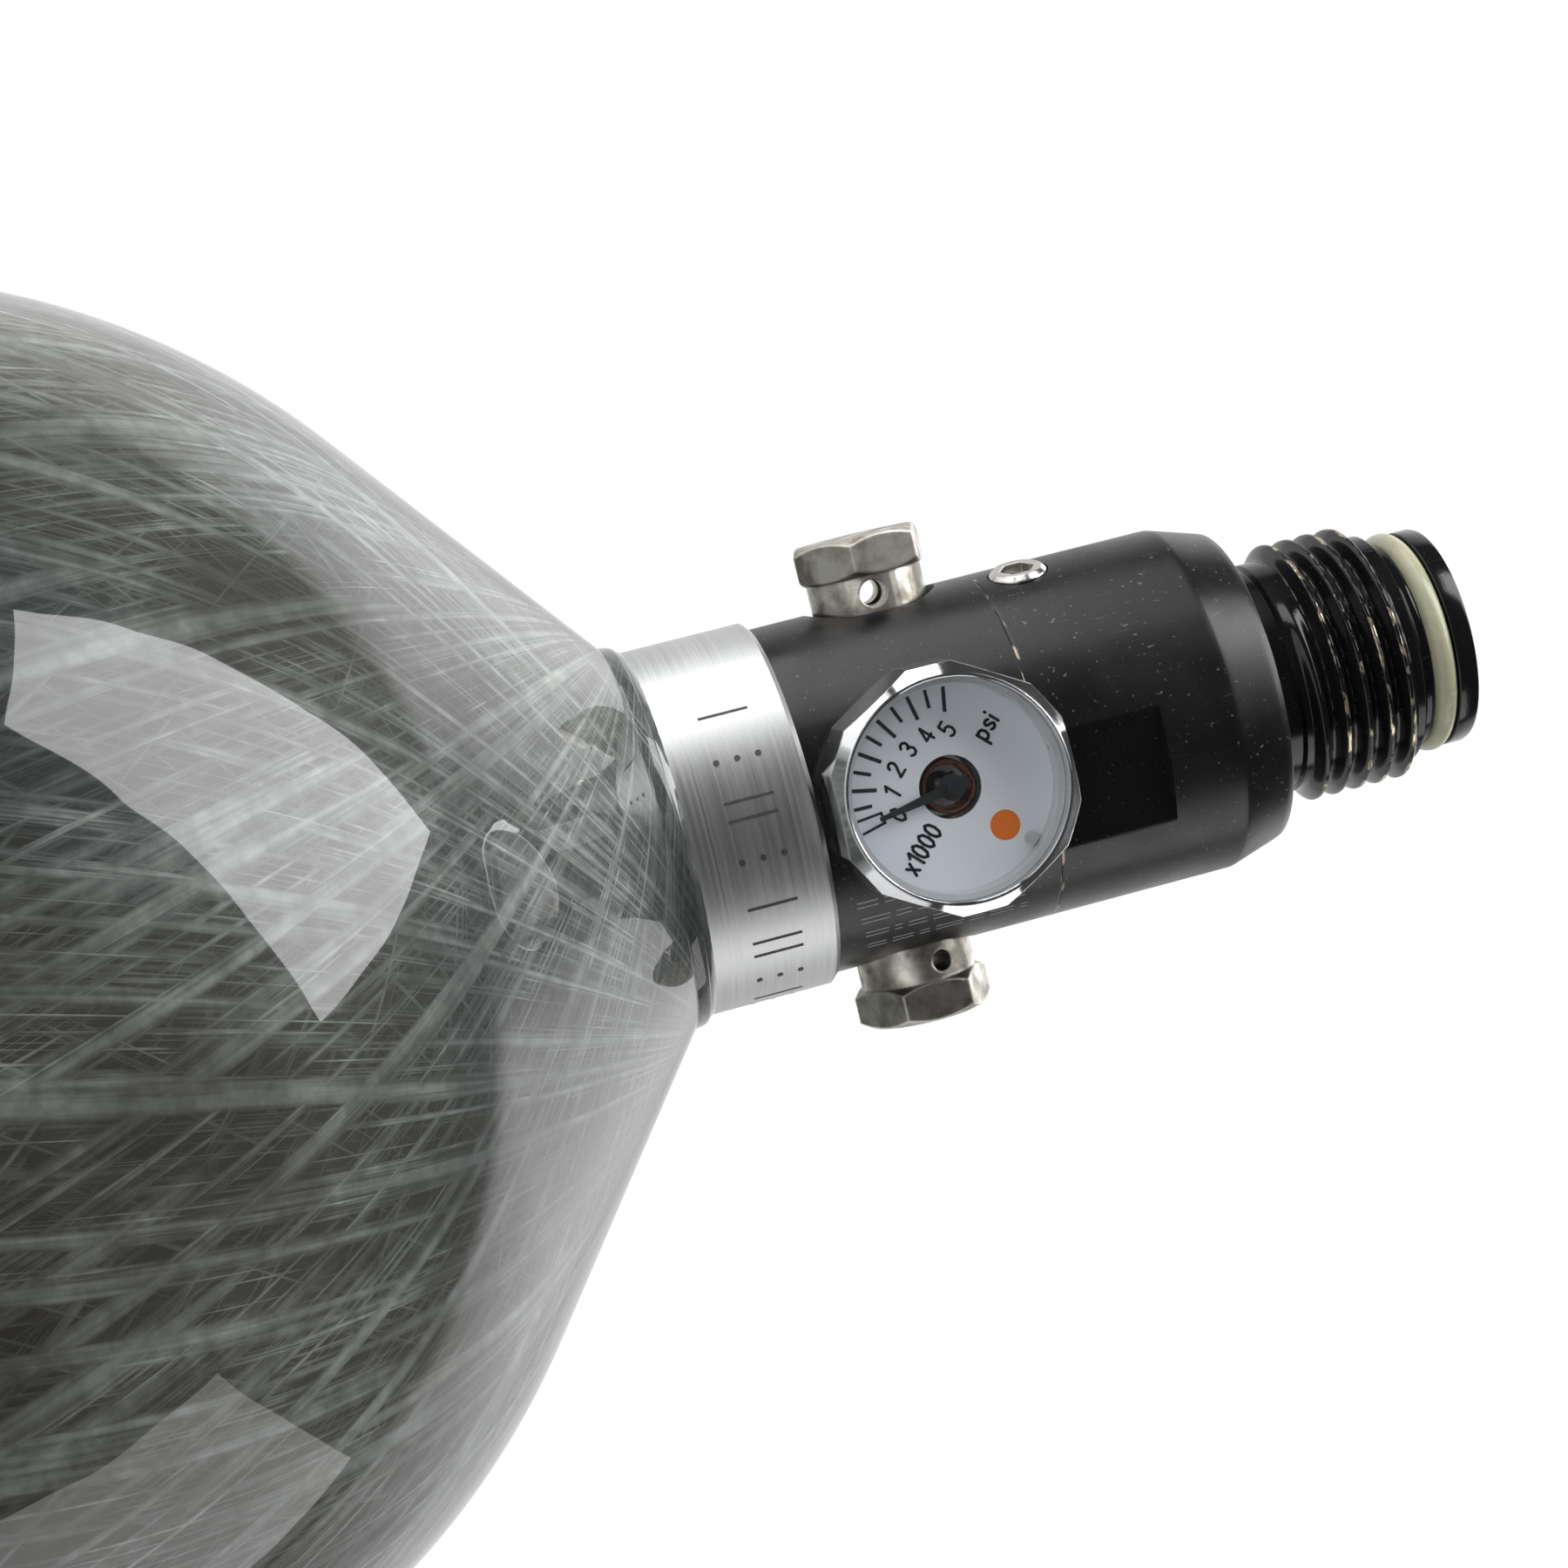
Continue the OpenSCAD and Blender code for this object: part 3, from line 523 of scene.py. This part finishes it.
def helix_radius(turn, height):
    """Radius of the outlet thread's surface: a right-handed helix that fades at both ends."""
    phase = (height - crest_start_z) / pitch + 0.25 - (turn + math.pi / 2) / (2 * math.pi)
    offset = np.abs(phase - np.round(phase)) * pitch
    crest = np.clip((pitch * 0.44 - offset) / (pitch * 0.44 - 0.10), 0, 1)
    crest = 0.5 * crest + 0.5 * crest ** 2 * (3 - 2 * crest)
    along = np.round(phase) + (turn + math.pi / 2) / (2 * math.pi)
    run_in = np.clip((along + 0.12) / 0.28, 0, 1)
    run_out = np.clip((crests - 0.57 - along) / 0.18, 0, 1)
    return thread_root_r + (thread_r - thread_root_r) * crest * run_in * run_out


def bonnet_shape(turn, radius, height):
    """Radius round the bonnet, with the two wrench flats and the thread."""
    radii = np.full(len(turn), float(radius))
    on_outside = radius > flat_distance - 0.2
    if on_outside and height < seam_z + flat_len:
        for side in (0, math.pi):
            facing = np.cos(turn - flat_turn - side)
            cut = np.where(facing > 0.5, flat_distance / np.maximum(facing, 0.5), 99)
            radii = np.minimum(radii, cut)
    if radius == thread_root_r and thread_start_z < height < thread_top_z:
        radii = helix_radius(turn, height)
    return radii


def bonnet_bore():
    """Inner line of the bonnet from the tip to the seam: guide, spring, gas hole, piston and spigot."""
    guide_r, spring_r, gas_r, piston_r, spigot_r = 4.25, 3.3, 1.6, 9.0, 11.05
    guide_z = tip_z - 6.4
    spring_z, roof_z, spigot_z = seam_z + 19.1, seam_z + 17.5, seam_z + 8.5
    return [(guide_r + 0.3, tip_z), (guide_r, tip_z - 0.25), (guide_r, guide_z), (spring_r, guide_z),
            (spring_r, spring_z), (gas_r, spring_z), (gas_r, roof_z), (piston_r, roof_z),
            (piston_r, spigot_z), (spigot_r, spigot_z), (spigot_r, seam_z)]


def bonnet_profile():
    """Closed section of the bonnet, with a mark for each point: (radius, height, wear, gloss)."""
    def marked(points, wear=0.0, gloss=0.0):
        """Adds the same wear and gloss to each point."""
        return [(r, z, wear, gloss) for r, z in points]
    flat_top = seam_z + flat_len
    out = marked([(reg_r - 0.15, seam_z)])
    out += marked([(reg_r - 0.04, seam_z + 0.04), (reg_r, seam_z + 0.15)], 0.6)
    out += marked([(reg_r, seam_z + 0.3)])
    out += marked(line((reg_r, seam_z + 0.6), (reg_r, flat_top - 0.05), 24))
    out += marked([(reg_r, flat_top - 0.002)])
    out += marked([(reg_r, flat_top)])
    out += marked(line((reg_r, flat_top + 0.1), (reg_r, bonnet_top_z - 0.12), 16))
    out += marked([(reg_r - 0.01, bonnet_top_z - 0.05), (reg_r - 0.03, bonnet_top_z + 0.06)])
    out += marked(line((reg_r - 0.08, bonnet_top_z + 0.25), (face_r + 0.1, face_z - 0.3), 10))
    out += marked([(face_r + 0.02, face_z - 0.12), (face_r - 0.08, face_z - 0.02)])
    out += marked([(face_r - 0.3, face_z), (undercut_r + 0.6, face_z), (undercut_r + 0.15, face_z + 0.02)])
    out += marked([(undercut_r, face_z + 0.2), (undercut_r, face_z + undercut_len),
                   (thread_root_r, thread_start_z)], 0.0, 1.0)
    out += marked(line((thread_root_r, thread_start_z + 0.02), (thread_root_r, thread_top_z), 200), 0.0, 1.0)
    out += marked([(thread_root_r, thread_top_z), (thread_root_r - 0.12, thread_top_z + 0.1),
                   (stem_r + 0.3, thread_top_z + 0.35), (stem_r, thread_top_z + 0.6)], 0.0, 1.0)
    out += marked(line((stem_r, thread_top_z + 0.7), (stem_r, seal_low_z - 0.08), 4), 0.0, 1.0)
    out += marked([(stem_r - 0.08, seal_low_z), (seal_groove_r, seal_low_z), (seal_groove_r, seal_high_z),
                   (land_r - 0.08, seal_high_z), (land_r, seal_high_z + 0.08)], 0.0, 1.0)
    out += marked([(land_r, tip_z - 0.35), (land_r - 0.09, tip_z - 0.1), (land_r - 0.35, tip_z)], 0.0, 1.0)
    return out + marked(bonnet_bore(), 0.0, 0.6)


def cut_hole(piece, turn, height, radius, start, depth):
    """Drills a radial hole into a piece, in millimetres."""
    cutter_mesh = bpy.data.meshes.new("cutter")
    points, faces = revolve([(0, start), (radius, start), (radius, start + depth), (0, start + depth)], 64)
    cutter_mesh.from_pydata([tuple(p) for p in np.asarray(points) * MM], [], faces)
    cutter = bpy.data.objects.new("cutter", cutter_mesh)
    bpy.context.scene.collection.objects.link(cutter)
    cutter.matrix_world = (Matrix.Translation((0, 0, height * MM)) @ Matrix.Rotation(turn, 4, "Z")
                           @ Matrix.Rotation(math.pi / 2, 4, "Y"))
    modifier = piece.modifiers.new("hole", "BOOLEAN")
    modifier.object = cutter
    modifier.operation = "DIFFERENCE"
    modifier.solver = "EXACT"
    bpy.context.view_layer.update()
    cut = bpy.data.meshes.new_from_object(piece.evaluated_get(bpy.context.evaluated_depsgraph_get()))
    piece.modifiers.remove(modifier)
    old = piece.data
    piece.data = cut
    cut.name = old.name
    bpy.data.meshes.remove(old)
    bpy.data.objects.remove(cutter)
    bpy.data.meshes.remove(cutter_mesh)
    cut.set_sharp_from_angle(angle=math.radians(32))


def build_bonnet(material):
    """The bonnet with a true helical thread, wrench flats and the set screw's hole."""
    columns = 360
    section = bonnet_profile()
    points, faces = revolve([(r, z) for r, z, _, _ in section], columns, bonnet_shape, closed=True)
    piece = add_mesh("threaded_bonnet", points, faces, "root", material, 30)
    wear = np.repeat([w for _, _, w, _ in section], columns)
    gloss = np.repeat([g for _, _, _, g in section], columns)
    place = np.asarray(points, float)
    radius = np.hypot(place[:, 0], place[:, 1])
    crest = (radius > thread_r - 0.05) & (place[:, 2] > face_z + 1)
    turn = np.arctan2(place[:, 1], place[:, 0])
    wear = np.where(crest, 0.85, wear)
    on_flat = np.zeros(len(place), bool)
    for side in (0, math.pi):
        on_flat |= np.cos(turn - flat_turn - side) > flat_distance / reg_r
    flat_zone = on_flat & (radius > 12.9) & (place[:, 2] > seam_z + 0.2) & (place[:, 2] < seam_z + flat_len)
    gloss = np.where(flat_zone, 1.0, gloss)
    set_point_values(piece, "wear", wear)
    set_point_values(piece, "gloss", gloss)
    cut_hole(piece, screw_turn, screw_z, screw_hole_r, 9.0, 8.0)
    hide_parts("bonnet")
    return piece


# ---------------------------------------------------------------- dial printing

# direction of the lettering, and of the scale's ends in degrees
dial_text_turn = math.radians(45.5)
scale_zero, scale_five = 190.0, 81.0


def dial_point(x, y, lift):
    """A point on the dial; x runs along +Z and y along -X."""
    return (-y, -(dial_out + lift), gauge_z + x)


def polar(radius, degrees):
    """A point on the dial by its distance from the needle's axis and its direction."""
    return radius * math.cos(math.radians(degrees)), radius * math.sin(math.radians(degrees))


class Sheet:
    """Collects flat outlines and makes one thin solid of them."""

    def __init__(self, place, thickness=0.02):
        """place turns (x, y, lift) on the sheet into a point of the frame."""
        self.place, self.thickness = place, thickness
        self.points, self.faces = [], []

    def add(self, outline):
        """Adds a convex outline given anticlockwise in the sheet's own plane."""
        count, first = len(outline), len(self.points)
        for lift in (0.004, 0.004 + self.thickness):
            self.points += [self.place(x, y, lift) for x, y in outline]
        self.faces.append(tuple(first + count + i for i in range(count)))
        self.faces.append(tuple(first + count - 1 - i for i in range(count)))
        for i in range(count):
            k = (i + 1) % count
            self.faces.append((first + i, first + k, first + count + k, first + count + i))

    def stroke(self, start, end, width):
        """Adds a straight line of a given width."""
        dx, dy = end[0] - start[0], end[1] - start[1]
        size = math.hypot(dx, dy)
        ox, oy = -dy / size * width / 2, dx / size * width / 2
        self.add([(start[0] - ox, start[1] - oy), (end[0] - ox, end[1] - oy),
                  (end[0] + ox, end[1] + oy), (start[0] + ox, start[1] + oy)])

    def disc(self, centre, radius, sides=40):
        """Adds a round dot."""
        self.add([(centre[0] + radius * math.cos(2 * math.pi * i / sides),
                   centre[1] + radius * math.sin(2 * math.pi * i / sides)) for i in range(sides)])


# pen lines of each sign on a square one unit high
signs = {
    "0": [[(0.30, 1), (0.08, 0.84), (0, 0.5), (0.08, 0.16), (0.30, 0), (0.52, 0.16), (0.60, 0.5),
           (0.52, 0.84), (0.30, 1)]],
    "1": [[(0.06, 0.78), (0.34, 1), (0.34, 0)]],
    "2": [[(0.03, 0.78), (0.12, 0.94), (0.30, 1), (0.48, 0.94), (0.56, 0.76), (0.48, 0.56), (0, 0),
           (0.60, 0)]],
    "3": [[(0.03, 0.86), (0.18, 1), (0.40, 0.99), (0.54, 0.84), (0.50, 0.62), (0.28, 0.53), (0.50, 0.46),
           (0.58, 0.25), (0.44, 0.03), (0.22, 0), (0.03, 0.13)]],
    "4": [[(0.46, 0), (0.46, 1), (0, 0.28), (0.62, 0.28)]],
    "5": [[(0.54, 1), (0.10, 1), (0.05, 0.56), (0.30, 0.64), (0.51, 0.54), (0.58, 0.30), (0.45, 0.05),
           (0.22, 0), (0.03, 0.12)]],
    "x": [[(0, 0), (0.46, 0.66)], [(0, 0.66), (0.46, 0)]],
    "p": [[(0, -0.32), (0, 0.66)], [(0, 0.54), (0.20, 0.66), (0.40, 0.58), (0.48, 0.33), (0.40, 0.08),
                                    (0.20, 0), (0, 0.10)]],
    "s": [[(0.42, 0.56), (0.27, 0.66), (0.10, 0.62), (0.04, 0.49), (0.14, 0.37), (0.33, 0.30), (0.43, 0.17),
           (0.34, 0.04), (0.18, 0), (0.02, 0.09)]],
    "i": [[(0, 0), (0, 0.58)], [(0, 0.92), (0, 0.97)]],
}


def print_words(name, words, centre, height, squeeze, weight, material):
    """Signs drawn with a round pen on the dial, centred on a point."""
    sheet = Sheet(dial_point)
    spread = 0.26
    widths = [max(x for pen in signs[sign] for x, _ in pen) for sign in words]
    start = -(sum(widths) + spread * (len(words) - 1)) / 2
    cos, sin = math.cos(dial_text_turn), math.sin(dial_text_turn)

    def spot(x, y):
        """A point of the sign being drawn, on the dial."""
        x, y = (start + x) * height * squeeze, (y - 0.5) * height
        return centre[0] + x * cos - y * sin, centre[1] + x * sin + y * cos
    for sign, width in zip(words, widths):
        for pen in signs[sign]:
            for a, b in zip(pen, pen[1:]):
                sheet.stroke(spot(*a), spot(*b), weight)
            for a in pen:
                sheet.disc(spot(*a), weight / 2, 10)
        start += width + spread
    add_mesh(name, sheet.points, sheet.faces, "root", material)


def build_dial_print(ink, orange):
    """Scale lines, the zero bracket, the figures 0 to 5, the units and a plain orange dot."""
    sheet = Sheet(dial_point)
    tick_out, long_in, short_in, bracket_w = 7.5, 5.6, 6.1, 0.2
    for half in range(1, 11):
        angle = scale_zero + (scale_five - scale_zero) * half / 10
        inner, width = (long_in, 0.29) if half % 2 == 0 else (short_in, 0.26)
        sheet.stroke(polar(inner, angle), polar(tick_out, angle), width)
    for angle in (186, 194):
        sheet.stroke(polar(long_in - 0.1, angle), polar(tick_out, angle), bracket_w)
    sheet.stroke(polar(long_in, 185.2), polar(long_in, 194.8), bracket_w)
    add_mesh("dial_scale", sheet.points, sheet.faces, "root", ink)
    places = [(4.45, 193.5), (4.5, 171.5), (4.38, 148), (4.3, 125), (4.3, 102.5), (4.3, 80)]
    for figure, (radius, angle) in enumerate(places):
        print_words(f"dial_figure_{figure}", str(figure), polar(radius, angle), 1.3, 0.82, 0.21, ink)
    print_words("dial_units", "psi", polar(5.2, 46), 1.3, 0.95, 0.24, ink)
    print_words("dial_factor", "x1000", polar(5.1, -129), 1.4, 0.74, 0.23, ink)
    dot = Sheet(dial_point)
    dot.disc(polar(5.1, -48.2), 1.15)
    add_mesh("dial_dot", dot.points, dot.faces, "root", orange)


# ---------------------------------------------------------------- marks on the neck and body

def on_cylinder(radius, turn_at_zero, height_at_zero):
    """Placing function: x runs round the cylinder, y along the axis."""
    def place(x, y, lift):
        """The point at (x, y), raised off the cylinder."""
        turn = turn_at_zero + x / radius
        return ((radius + lift) * math.cos(turn), (radius + lift) * math.sin(turn), height_at_zero + y)
    return place


def build_neck_marks(material):
    """A row of plain punch marks where such a neck carries its stamped number, drawn as thin raised sheets
    whose dark grey is painted shade standing in for the punched recesses.
    """
    sheet = Sheet(on_cylinder(neck_r, math.radians(-128), (neck_root_z + neck_top_z) / 2 + 0.3), 0.012)
    spacing, tall, stroke = 3.9, 3.9, 0.22
    marks = "bar dots bars dots bar bars dots bar dots".split()
    for index, mark in enumerate(marks):
        x = index * spacing
        if mark == "bar":
            sheet.stroke((x, -tall / 2), (x, tall / 2), stroke)
        elif mark == "bars":
            for side in (-0.7, 0.7):
                sheet.stroke((x + side, -tall / 2), (x + side, tall / 2), stroke)
        else:
            for step in (-1, 0, 1):
                sheet.disc((x, step * tall * 0.42), 0.24, 18)
    return add_mesh("neck_punch_marks_painted_shade", sheet.points, sheet.faces, "root", material)


def build_body_dashes(material):
    """Rows of short pale dashes where the body carries laser-marked lines."""
    sheet = Sheet(on_cylinder(reg_r, math.radians(-56), neck_top_z + 1.6), 0.01)
    rows, gap = 4, 1.75
    row_end, space, dash_w = 15.5, 0.5, 0.12
    lengths = [1.7, 0.8, 2.3, 1.2, 1.9, 0.6, 1.5]
    for row in range(rows):
        y = 0.25 * row
        for index in range(len(lengths)):
            size = lengths[(index + 2 * row) % len(lengths)]
            if y + size > row_end:
                break
            for rail in (-0.24, 0.24):
                sheet.stroke((row * gap + rail, y), (row * gap + rail, y + size), dash_w)
            y += size + space
    return add_mesh("body_dashes", sheet.points, sheet.faces, "root", material)


# ---------------------------------------------------------------- springs

def build_spring(name, node, material):
    """A spring in its CAD shape, copied with its own material in place of the hidden CAD node."""
    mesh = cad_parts[node].data.copy()
    mesh.materials.clear()
    mesh.materials.append(material)
    piece = bpy.data.objects.new(name, mesh)
    bpy.context.scene.collection.objects.link(piece)
    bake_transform(piece)
    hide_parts(node)
    return piece


def build_springs(material):
    """The washers and two coils."""
    build_spring("piston_washer_stack", "spring_washers", material)
    build_spring("valve_pin_spring", "valve_spring", material)
    build_spring("check_poppet_spring", "fill_check_spring", material)


# ---------------------------------------------------------------- stage

def area_light(name, place, aim, size, power):
    """A rectangular softbox at a place, facing an aim, in metres."""
    data = bpy.data.lights.new(name, "AREA")
    data.shape = "RECTANGLE"
    data.size, data.size_y = size
    data.energy = power
    lamp = bpy.data.objects.new(name, data)
    bpy.context.scene.collection.objects.link(lamp)
    lamp.location = place
    lamp.rotation_euler = (Vector(aim) - Vector(place)).to_track_quat("-Z", "Y").to_euler()
    return lamp


def build_lights():
    """One long softbox over the outlet end, one along the -X side, and a weak fill."""
    key = area_light("key", (-0.419, -0.295, 0.78), (-0.419, -0.295, 0), (0.99, 0.388), 7.1)
    key.rotation_euler = (0, 0, math.radians(25.5))
    area_light("side", (-0.75, -0.10, 0.26), (0, 0, 0.22), (0.75, 0.35), 2.7)
    area_light("fill", (0.75, -0.10, 0.35), (0, 0, 0.2), (0.5, 0.5), 1.3)


def build_world():
    """White seen directly; in reflections a white backdrop behind the object and a dim room before it."""
    world = bpy.data.worlds.new("studio")
    bpy.context.scene.world = world
    world.use_nodes = True
    tree = world.node_tree
    direction = put(tree, "ShaderNodeTexCoord").outputs["Generated"]
    backdrop_middle = (0.10, 0.98, 0.155)
    behind = put(tree, "ShaderNodeVectorMath", {0: direction, 1: backdrop_middle}, operation="DOT_PRODUCT")
    above = put(tree, "ShaderNodeSeparateXYZ", {0: direction}).outputs["Z"]
    edge = ramp(tree, behind.outputs["Value"], 0.44, 0.50, 0.0, 0.45)
    level = math_node(tree, "ADD", edge, ramp(tree, behind.outputs["Value"], 0.42, 0.82, 0.0, 0.55))
    backdrop = ramp(tree, above, 0.35, 0.85, 0.75, 2.6)
    seen = put(tree, "ShaderNodeLightPath").outputs["Is Camera Ray"]
    strength = math_node(tree, "MAXIMUM", math_node(tree, "MULTIPLY_ADD", level, backdrop, 0.05), seen)
    background = tree.nodes["Background"]
    tree.links.new(strength, background.inputs["Strength"])
    background.inputs["Color"].default_value = colour(1, 1, 1)


def build_floor():
    """A plain pale floor under the bottle."""
    material, tree, shader, place = new_material("floor")
    mottle = noise_of(tree, place, 8.0, 2.0)
    tree.links.new(mix_colours(tree, mottle, colour(0.84, 0.84, 0.84), colour(0.88, 0.88, 0.88)),
                   shader.inputs["Base Color"])
    shader.inputs["Roughness"].default_value = 0.6
    points, faces = revolve([(0, 0), (300, 0), (850, 0)], 96)
    mesh = bpy.data.meshes.new("floor")
    mesh.from_pydata([tuple(p) for p in np.asarray(points) * MM], [], faces)
    mesh.materials.append(material)
    floor = bpy.data.objects.new("floor", mesh)
    floor.location = (0, 0, -0.0005)
    bpy.context.scene.collection.objects.link(floor)


def build_camera():
    """Square to the gauge, with the bottle's axis lying across the picture."""
    data = bpy.data.cameras.new("camera")
    data.lens, data.sensor_width = 80, 36
    data.clip_start, data.clip_end = 0.01, 20
    camera = bpy.data.objects.new("camera", data)
    camera.location = (-0.029748, -0.270212, 0.167942)
    camera.rotation_euler = [math.radians(a) for a in (122.128, -73.014, -36.963)]
    bpy.context.scene.collection.objects.link(camera)
    bpy.context.scene.camera = camera


# ---------------------------------------------------------------- all together

def finish_cad_nodes(finishes):
    """Gives each kept CAD node its material."""
    for material, names in finishes:
        for name in names.split():
            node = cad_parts[name]
            if not node.material_slots:
                node.data.materials.append(material)
            for slot in node.material_slots:
                slot.material = material


def dress_cad_nodes(steel, ink):
    """Makes the materials that only CAD nodes use, and gives every kept node its own."""
    chrome = plated("gauge_chrome", colour(0.86, 0.87, 0.89), colour(0.74, 0.75, 0.77), 0.05, 0.12, 0.0002)
    nickel = plated("plug_nickel", colour(0.78, 0.75, 0.68), colour(0.24, 0.22, 0.19),
                    0.30, 0.46, 0.0003, 0.85)
    bright_nickel = plated("screw_nickel", colour(0.84, 0.83, 0.80), colour(0.62, 0.60, 0.56),
                           0.14, 0.26, 0.0002)
    brass = plain_metal("brass", colour(0.74, 0.59, 0.31), colour(0.56, 0.42, 0.20), 0.28)
    bronze = plain_metal("sintered_bronze", colour(0.58, 0.42, 0.26), colour(0.25, 0.17, 0.10), 0.55, 3500.0)
    copper = plain_metal("copper", colour(0.76, 0.36, 0.22), colour(0.42, 0.16, 0.09), 0.30)
    rubber = moulded("black_rubber", colour(0.022, 0.022, 0.022), colour(0.012, 0.012, 0.012), 0.42)
    urethane = moulded("amber_urethane", colour(0.48, 0.47, 0.32), colour(0.38, 0.40, 0.29), 0.24, 0.35)
    white = moulded("white_plastic", colour(0.82, 0.82, 0.78), colour(0.70, 0.70, 0.66), 0.42)
    dial = moulded("dial_paint", colour(0.82, 0.87, 0.92), colour(0.77, 0.82, 0.87), 0.38, 0.0, 900.0)
    spacer = moulded("spacer_plastic", colour(0.56, 0.58, 0.60), colour(0.44, 0.46, 0.47), 0.3)
    finish_cad_nodes([
        (black_anodised(), "regulator_body"),
        (turned_aluminium(), "bottle_liner piston"),
        (chrome, "gauge_case gauge_stem"),
        (nickel, "high_pressure_burst_plug low_pressure_burst_plug"),
        (bright_nickel, "bonnet_set_screw fill_nipple"),
        (steel, "pressure_shim valve_pin"),
        (brass, "inlet_nozzle valve_guide fill_check_poppet"),
        (bronze, "inlet_filter"),
        (copper, "gauge_bourdon_coil high_pressure_burst_disc low_pressure_burst_disc"),
        (rubber, "neck_oring piston_head_oring piston_stem_oring body_oring valve_pin_oring"
                 " fill_nipple_oring fill_check_oring"),
        (urethane, "outlet_oring"),
        (white, "piston_seat high_pressure_burst_gasket low_pressure_burst_gasket"),
        (dial, "gauge_dial"),
        (spacer, "gauge_spacer_ring gauge_relief_plug"),
        (ink, "gauge_needle"),
        (clear_lens(), "gauge_lens"),
    ])


def main():
    """Builds the scene."""
    build_camera()
    build_world()
    build_lights()
    build_floor()
    bpy.context.scene.view_settings.view_transform = "Standard"

    steel = plain_metal("spring_steel", colour(0.66, 0.67, 0.69), colour(0.48, 0.49, 0.51), 0.28)
    ink = moulded("dial_ink", colour(0.018, 0.02, 0.024), colour(0.01, 0.012, 0.014), 0.5)
    orange = moulded("orange_print", colour(0.90, 0.23, 0.03), colour(0.80, 0.17, 0.02), 0.4)
    # the dark grey of the neck's punch marks is painted shade of their recesses
    marks = moulded("punch_mark_painted_shade", colour(0.10, 0.10, 0.10), colour(0.04, 0.04, 0.04), 0.6)
    laser = moulded("laser_mark", colour(0.42, 0.42, 0.41), colour(0.26, 0.26, 0.25), 0.6)

    dress_cad_nodes(steel, ink)
    build_wrap(fibre_wrap())
    build_resin_ring(resin())
    build_bonnet(bonnet_finish())
    build_dial_print(ink, orange)
    build_neck_marks(marks)
    build_body_dashes(laser)
    build_springs(steel)


main()
